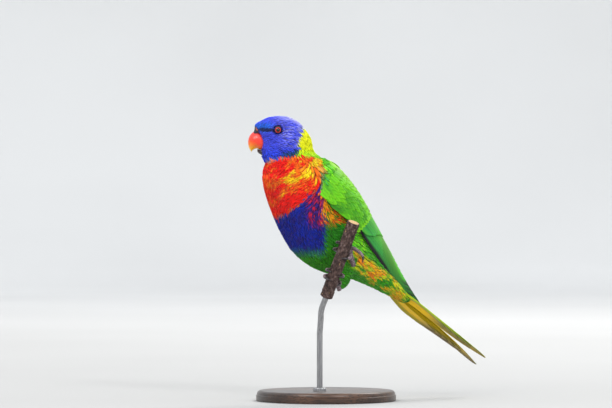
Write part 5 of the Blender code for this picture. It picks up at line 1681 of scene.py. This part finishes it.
for word, (palm_height, palm_turn, heel, toes) in FEET.items():
    outward = PERCH_RIGHT * cos(radians(palm_turn)) + PERCH_FRONT * sin(radians(palm_turn))
    palm = round_perch(palm_height, radians(palm_turn), PALM_DISTANCE)
    palm_axes = (outward, PERCH_LINE.cross(outward).normalized(), PERCH_LINE)
    joined = bmesh.new()
    bmesh.ops.create_icosphere(joined, subdivisions=4, radius=1.0)
    for v in joined.verts:
        v.co = (palm + sum((axis * c * size for axis, c, size in
                            zip(palm_axes, v.co, PALM_SIZES)), Vector())) * MM
    lines, spans, shanks = [], [], []
    for number, path in toes.items():
        total = path_length(path)
        toe, at = resampled(path, 0.0, total - CLAW_LENGTH + 0.7, TOE_STEP)
        share = at / at[-1]
        radii = TOE_RADIUS + (TOE_END_RADIUS - TOE_RADIUS) * share
        radii = radii * (1 + 0.06 * np.cos(at / PAD_PITCH * 2 * pi)) * (1 - 0.25 * (share > 0.985))
        joined.from_mesh(loft("toe", tube_rings(toe, radii)))
        lines.append(toe)
        spans.append(at)
        shanks.append(np.zeros(len(toe)))
        claw, at = resampled(path, total - CLAW_LENGTH - 0.1, total, CLAW_STEP)
        share = (at - at[0]) / (at[-1] - at[0])
        claw_mesh = loft(f"claw_horn_{word}_{number}", tube_rings(
            claw[:-1], 1.12 * (1 - share[:-1]) ** 0.7 + 0.06, 18), end_pole=claw[-1])
        add_piece(f"claw_horn_{word}_{number}", claw_mesh, claw_finish,
                  (f"claw_{word}_{number}",))
    shank = np.array([Vector(heel).lerp(palm, t) for t in np.linspace(-0.15, 1, SHANK_STEPS)])
    joined.from_mesh(loft("shank", tube_rings(shank, np.full(SHANK_STEPS, TARSUS_RADIUS))))
    lines.append(shank)
    spans.append(np.linspace(0, path_length(shank), SHANK_STEPS))
    shanks.append(np.ones(SHANK_STEPS))
    solid = bpy.data.meshes.new("foot_solid")
    joined.to_mesh(solid)
    joined.free()
    foot = one_skin(solid, FOOT_VOXEL, FOOT_SMOOTHING)
    places, normals = vertex_arrays(foot)
    line, span = np.concatenate(lines), np.concatenate(spans)
    nearest = np.concatenate([
        ((chunk[:, None, :] - line[None]) ** 2).sum(2).argmin(1)
        for chunk in np.array_split(places, 40)])
    from_perch = places - np.array(PERCH_BOTTOM)
    from_perch -= (from_perch @ np.array(PERCH_LINE))[:, None] * np.array(PERCH_LINE)
    back = smooth_step((unit(from_perch) * normals).sum(1), -0.3, 0.4)
    phase = (span[nearest] / SCUTE_PITCH) % 1.0
    scute = (1 - phase) ** 0.6 * smooth_step(phase, 0, 0.16)
    pebbles = np.array([noise.noise(Vector(p) * 2.6) for p in places]) + 0.5
    on_shank = np.concatenate(shanks)[nearest]
    relief = ((scute * back + pebbles * (1 - back)) * (1 - on_shank)
              + (0.45 * scute + 0.6 * pebbles) * on_shank)
    places += normals * ((relief - 0.5) * SCUTE_HEIGHT * 2)[:, None]
    foot.vertices.foreach_set("co", (places * MM).ravel())
    layer = foot.attributes.new("relief", "FLOAT", "POINT")
    layer.data.foreach_set("value", np.clip(relief, 0, 1).astype(np.float32))
    foot.shade_smooth()
    foot.name = f"foot_skin_{word}"
    add_piece(f"foot_skin_{word}", foot, foot_finish,
              [f"foot_{word}", f"tarsus_{word}"] + [f"toe_{word}_{number}" for number in toes])

# Stand. A turned board of dark stained wood with a rounded rim carries one bent steel rod, which
# sits in a small collar and goes up into the sawn end of the perch.
BASE_RADIUS, BASE_HEIGHT = 60.0, 9.0
ROD_RADIUS, ROD_X, ROD_Y, ROD_BEND_START = 2.5, -5.5, -11.5, 58.0
COLLAR_RADIUS, COLLAR_HEIGHT = 5.6, 2.6
BOARD_TONES = ((0.32, (30, 20, 15)), (0.5, (58, 38, 27)), (0.66, (86, 58, 40)))
STEEL_TONES = ((0.35, (138, 138, 140)), (0.65, (176, 176, 178)))


def turned(name, profile, centre=(0.0, 0.0), steps=128):
    """A profile of (radius, height) places, run up the outside, turned about an upright line."""
    rings = [
        [(centre[0] + r * cos(a), centre[1] + r * sin(a), z)
         for a in (2 * pi * k / steps for k in range(steps))]
        for r, z in profile
    ]
    mesh = loft(name, rings)
    mesh.set_sharp_from_angle(angle=radians(35))
    return mesh


def round_corner(radius, height, size, start, steps=8):
    """A quarter round on a turned profile, from an angle, about a corner's own centre."""
    return [(radius + size * cos(start + pi / 2 * k / steps),
             height + size * sin(start + pi / 2 * k / steps)) for k in range(steps + 1)]


board_profile = (
    [(BASE_RADIUS - 3.0, 0.0)]
    + round_corner(BASE_RADIUS - 1.0, 1.0, 1.0, -pi / 2)
    + [(BASE_RADIUS, 5.0), (BASE_RADIUS - 0.7, 5.4), (BASE_RADIUS - 0.7, 5.8)]
    + round_corner(BASE_RADIUS - 3.9, BASE_HEIGHT - 3.2, 3.2, 0.0)
    + [(BASE_RADIUS - 8.0, BASE_HEIGHT), (4.0, BASE_HEIGHT)]
)
board_finish, tree, shader = shader_material("stained_board", 0.38, Coat_Weight=0.3,
                                             Coat_Roughness=0.25)
grain = ramp_node(tree, place_noise(tree, 60, 6, 0.6, stretch=(0.10, 1.0, 1.0)), BOARD_TONES)
pores = place_noise(tree, 900, 2, stretch=(0.05, 1, 1))
tree.links.new(speckled(tree, grain, pores, ((0.42, (120, 110, 105)), (0.5, WHITE)), 0.7),
               shader.inputs["Base Color"])
bump(tree, shader, pores, 0.00008, 0.4)
add_piece("stand_board", turned("stand_board", board_profile), board_finish,
          ("stand_base",))

foot_of_rod = np.array((ROD_X, ROD_Y, BASE_HEIGHT - 2.0))
bend = np.array((ROD_X, ROD_Y, ROD_BEND_START))
before_perch = np.array(PERCH_BOTTOM - PERCH_LINE * 12)
rod_path = np.concatenate([
    [foot_of_rod + (bend - foot_of_rod) * t for t in np.linspace(0, 0.95, 12)],
    through([bend, before_perch * 0.55 + bend * 0.45, before_perch, np.array(PERCH_BOTTOM)],
            np.linspace(0, 3, 26)),
    [np.array(PERCH_BOTTOM + PERCH_LINE * 8)],
])
steel_finish, tree, shader = shader_material("brushed_steel", 0.34, Metallic=1.0)
tree.links.new(ramp_node(tree, place_noise(tree, 1600, 2, stretch=(1, 1, 0.04)), STEEL_TONES),
               shader.inputs["Base Color"])
bump(tree, shader, place_noise(tree, 2200, 2, stretch=(1, 1, 0.04)), 0.00004, 0.3)
rod = loft("stand_rod_steel", tube_rings(rod_path, np.full(len(rod_path), ROD_RADIUS), 28))
rod.set_sharp_from_angle(angle=radians(40))
add_piece("stand_rod_steel", rod, steel_finish, ("stand_rod",))
collar_profile = (
    [(COLLAR_RADIUS, BASE_HEIGHT - 0.5)]
    + round_corner(COLLAR_RADIUS - 0.8, BASE_HEIGHT + COLLAR_HEIGHT - 0.8, 0.8, 0.0, 6)
    + [(ROD_RADIUS - 0.4, BASE_HEIGHT + COLLAR_HEIGHT)]
)
collar = turned("stand_collar", collar_profile, (ROD_X, ROD_Y), 48)
add_piece("stand_collar", collar, steel_finish)
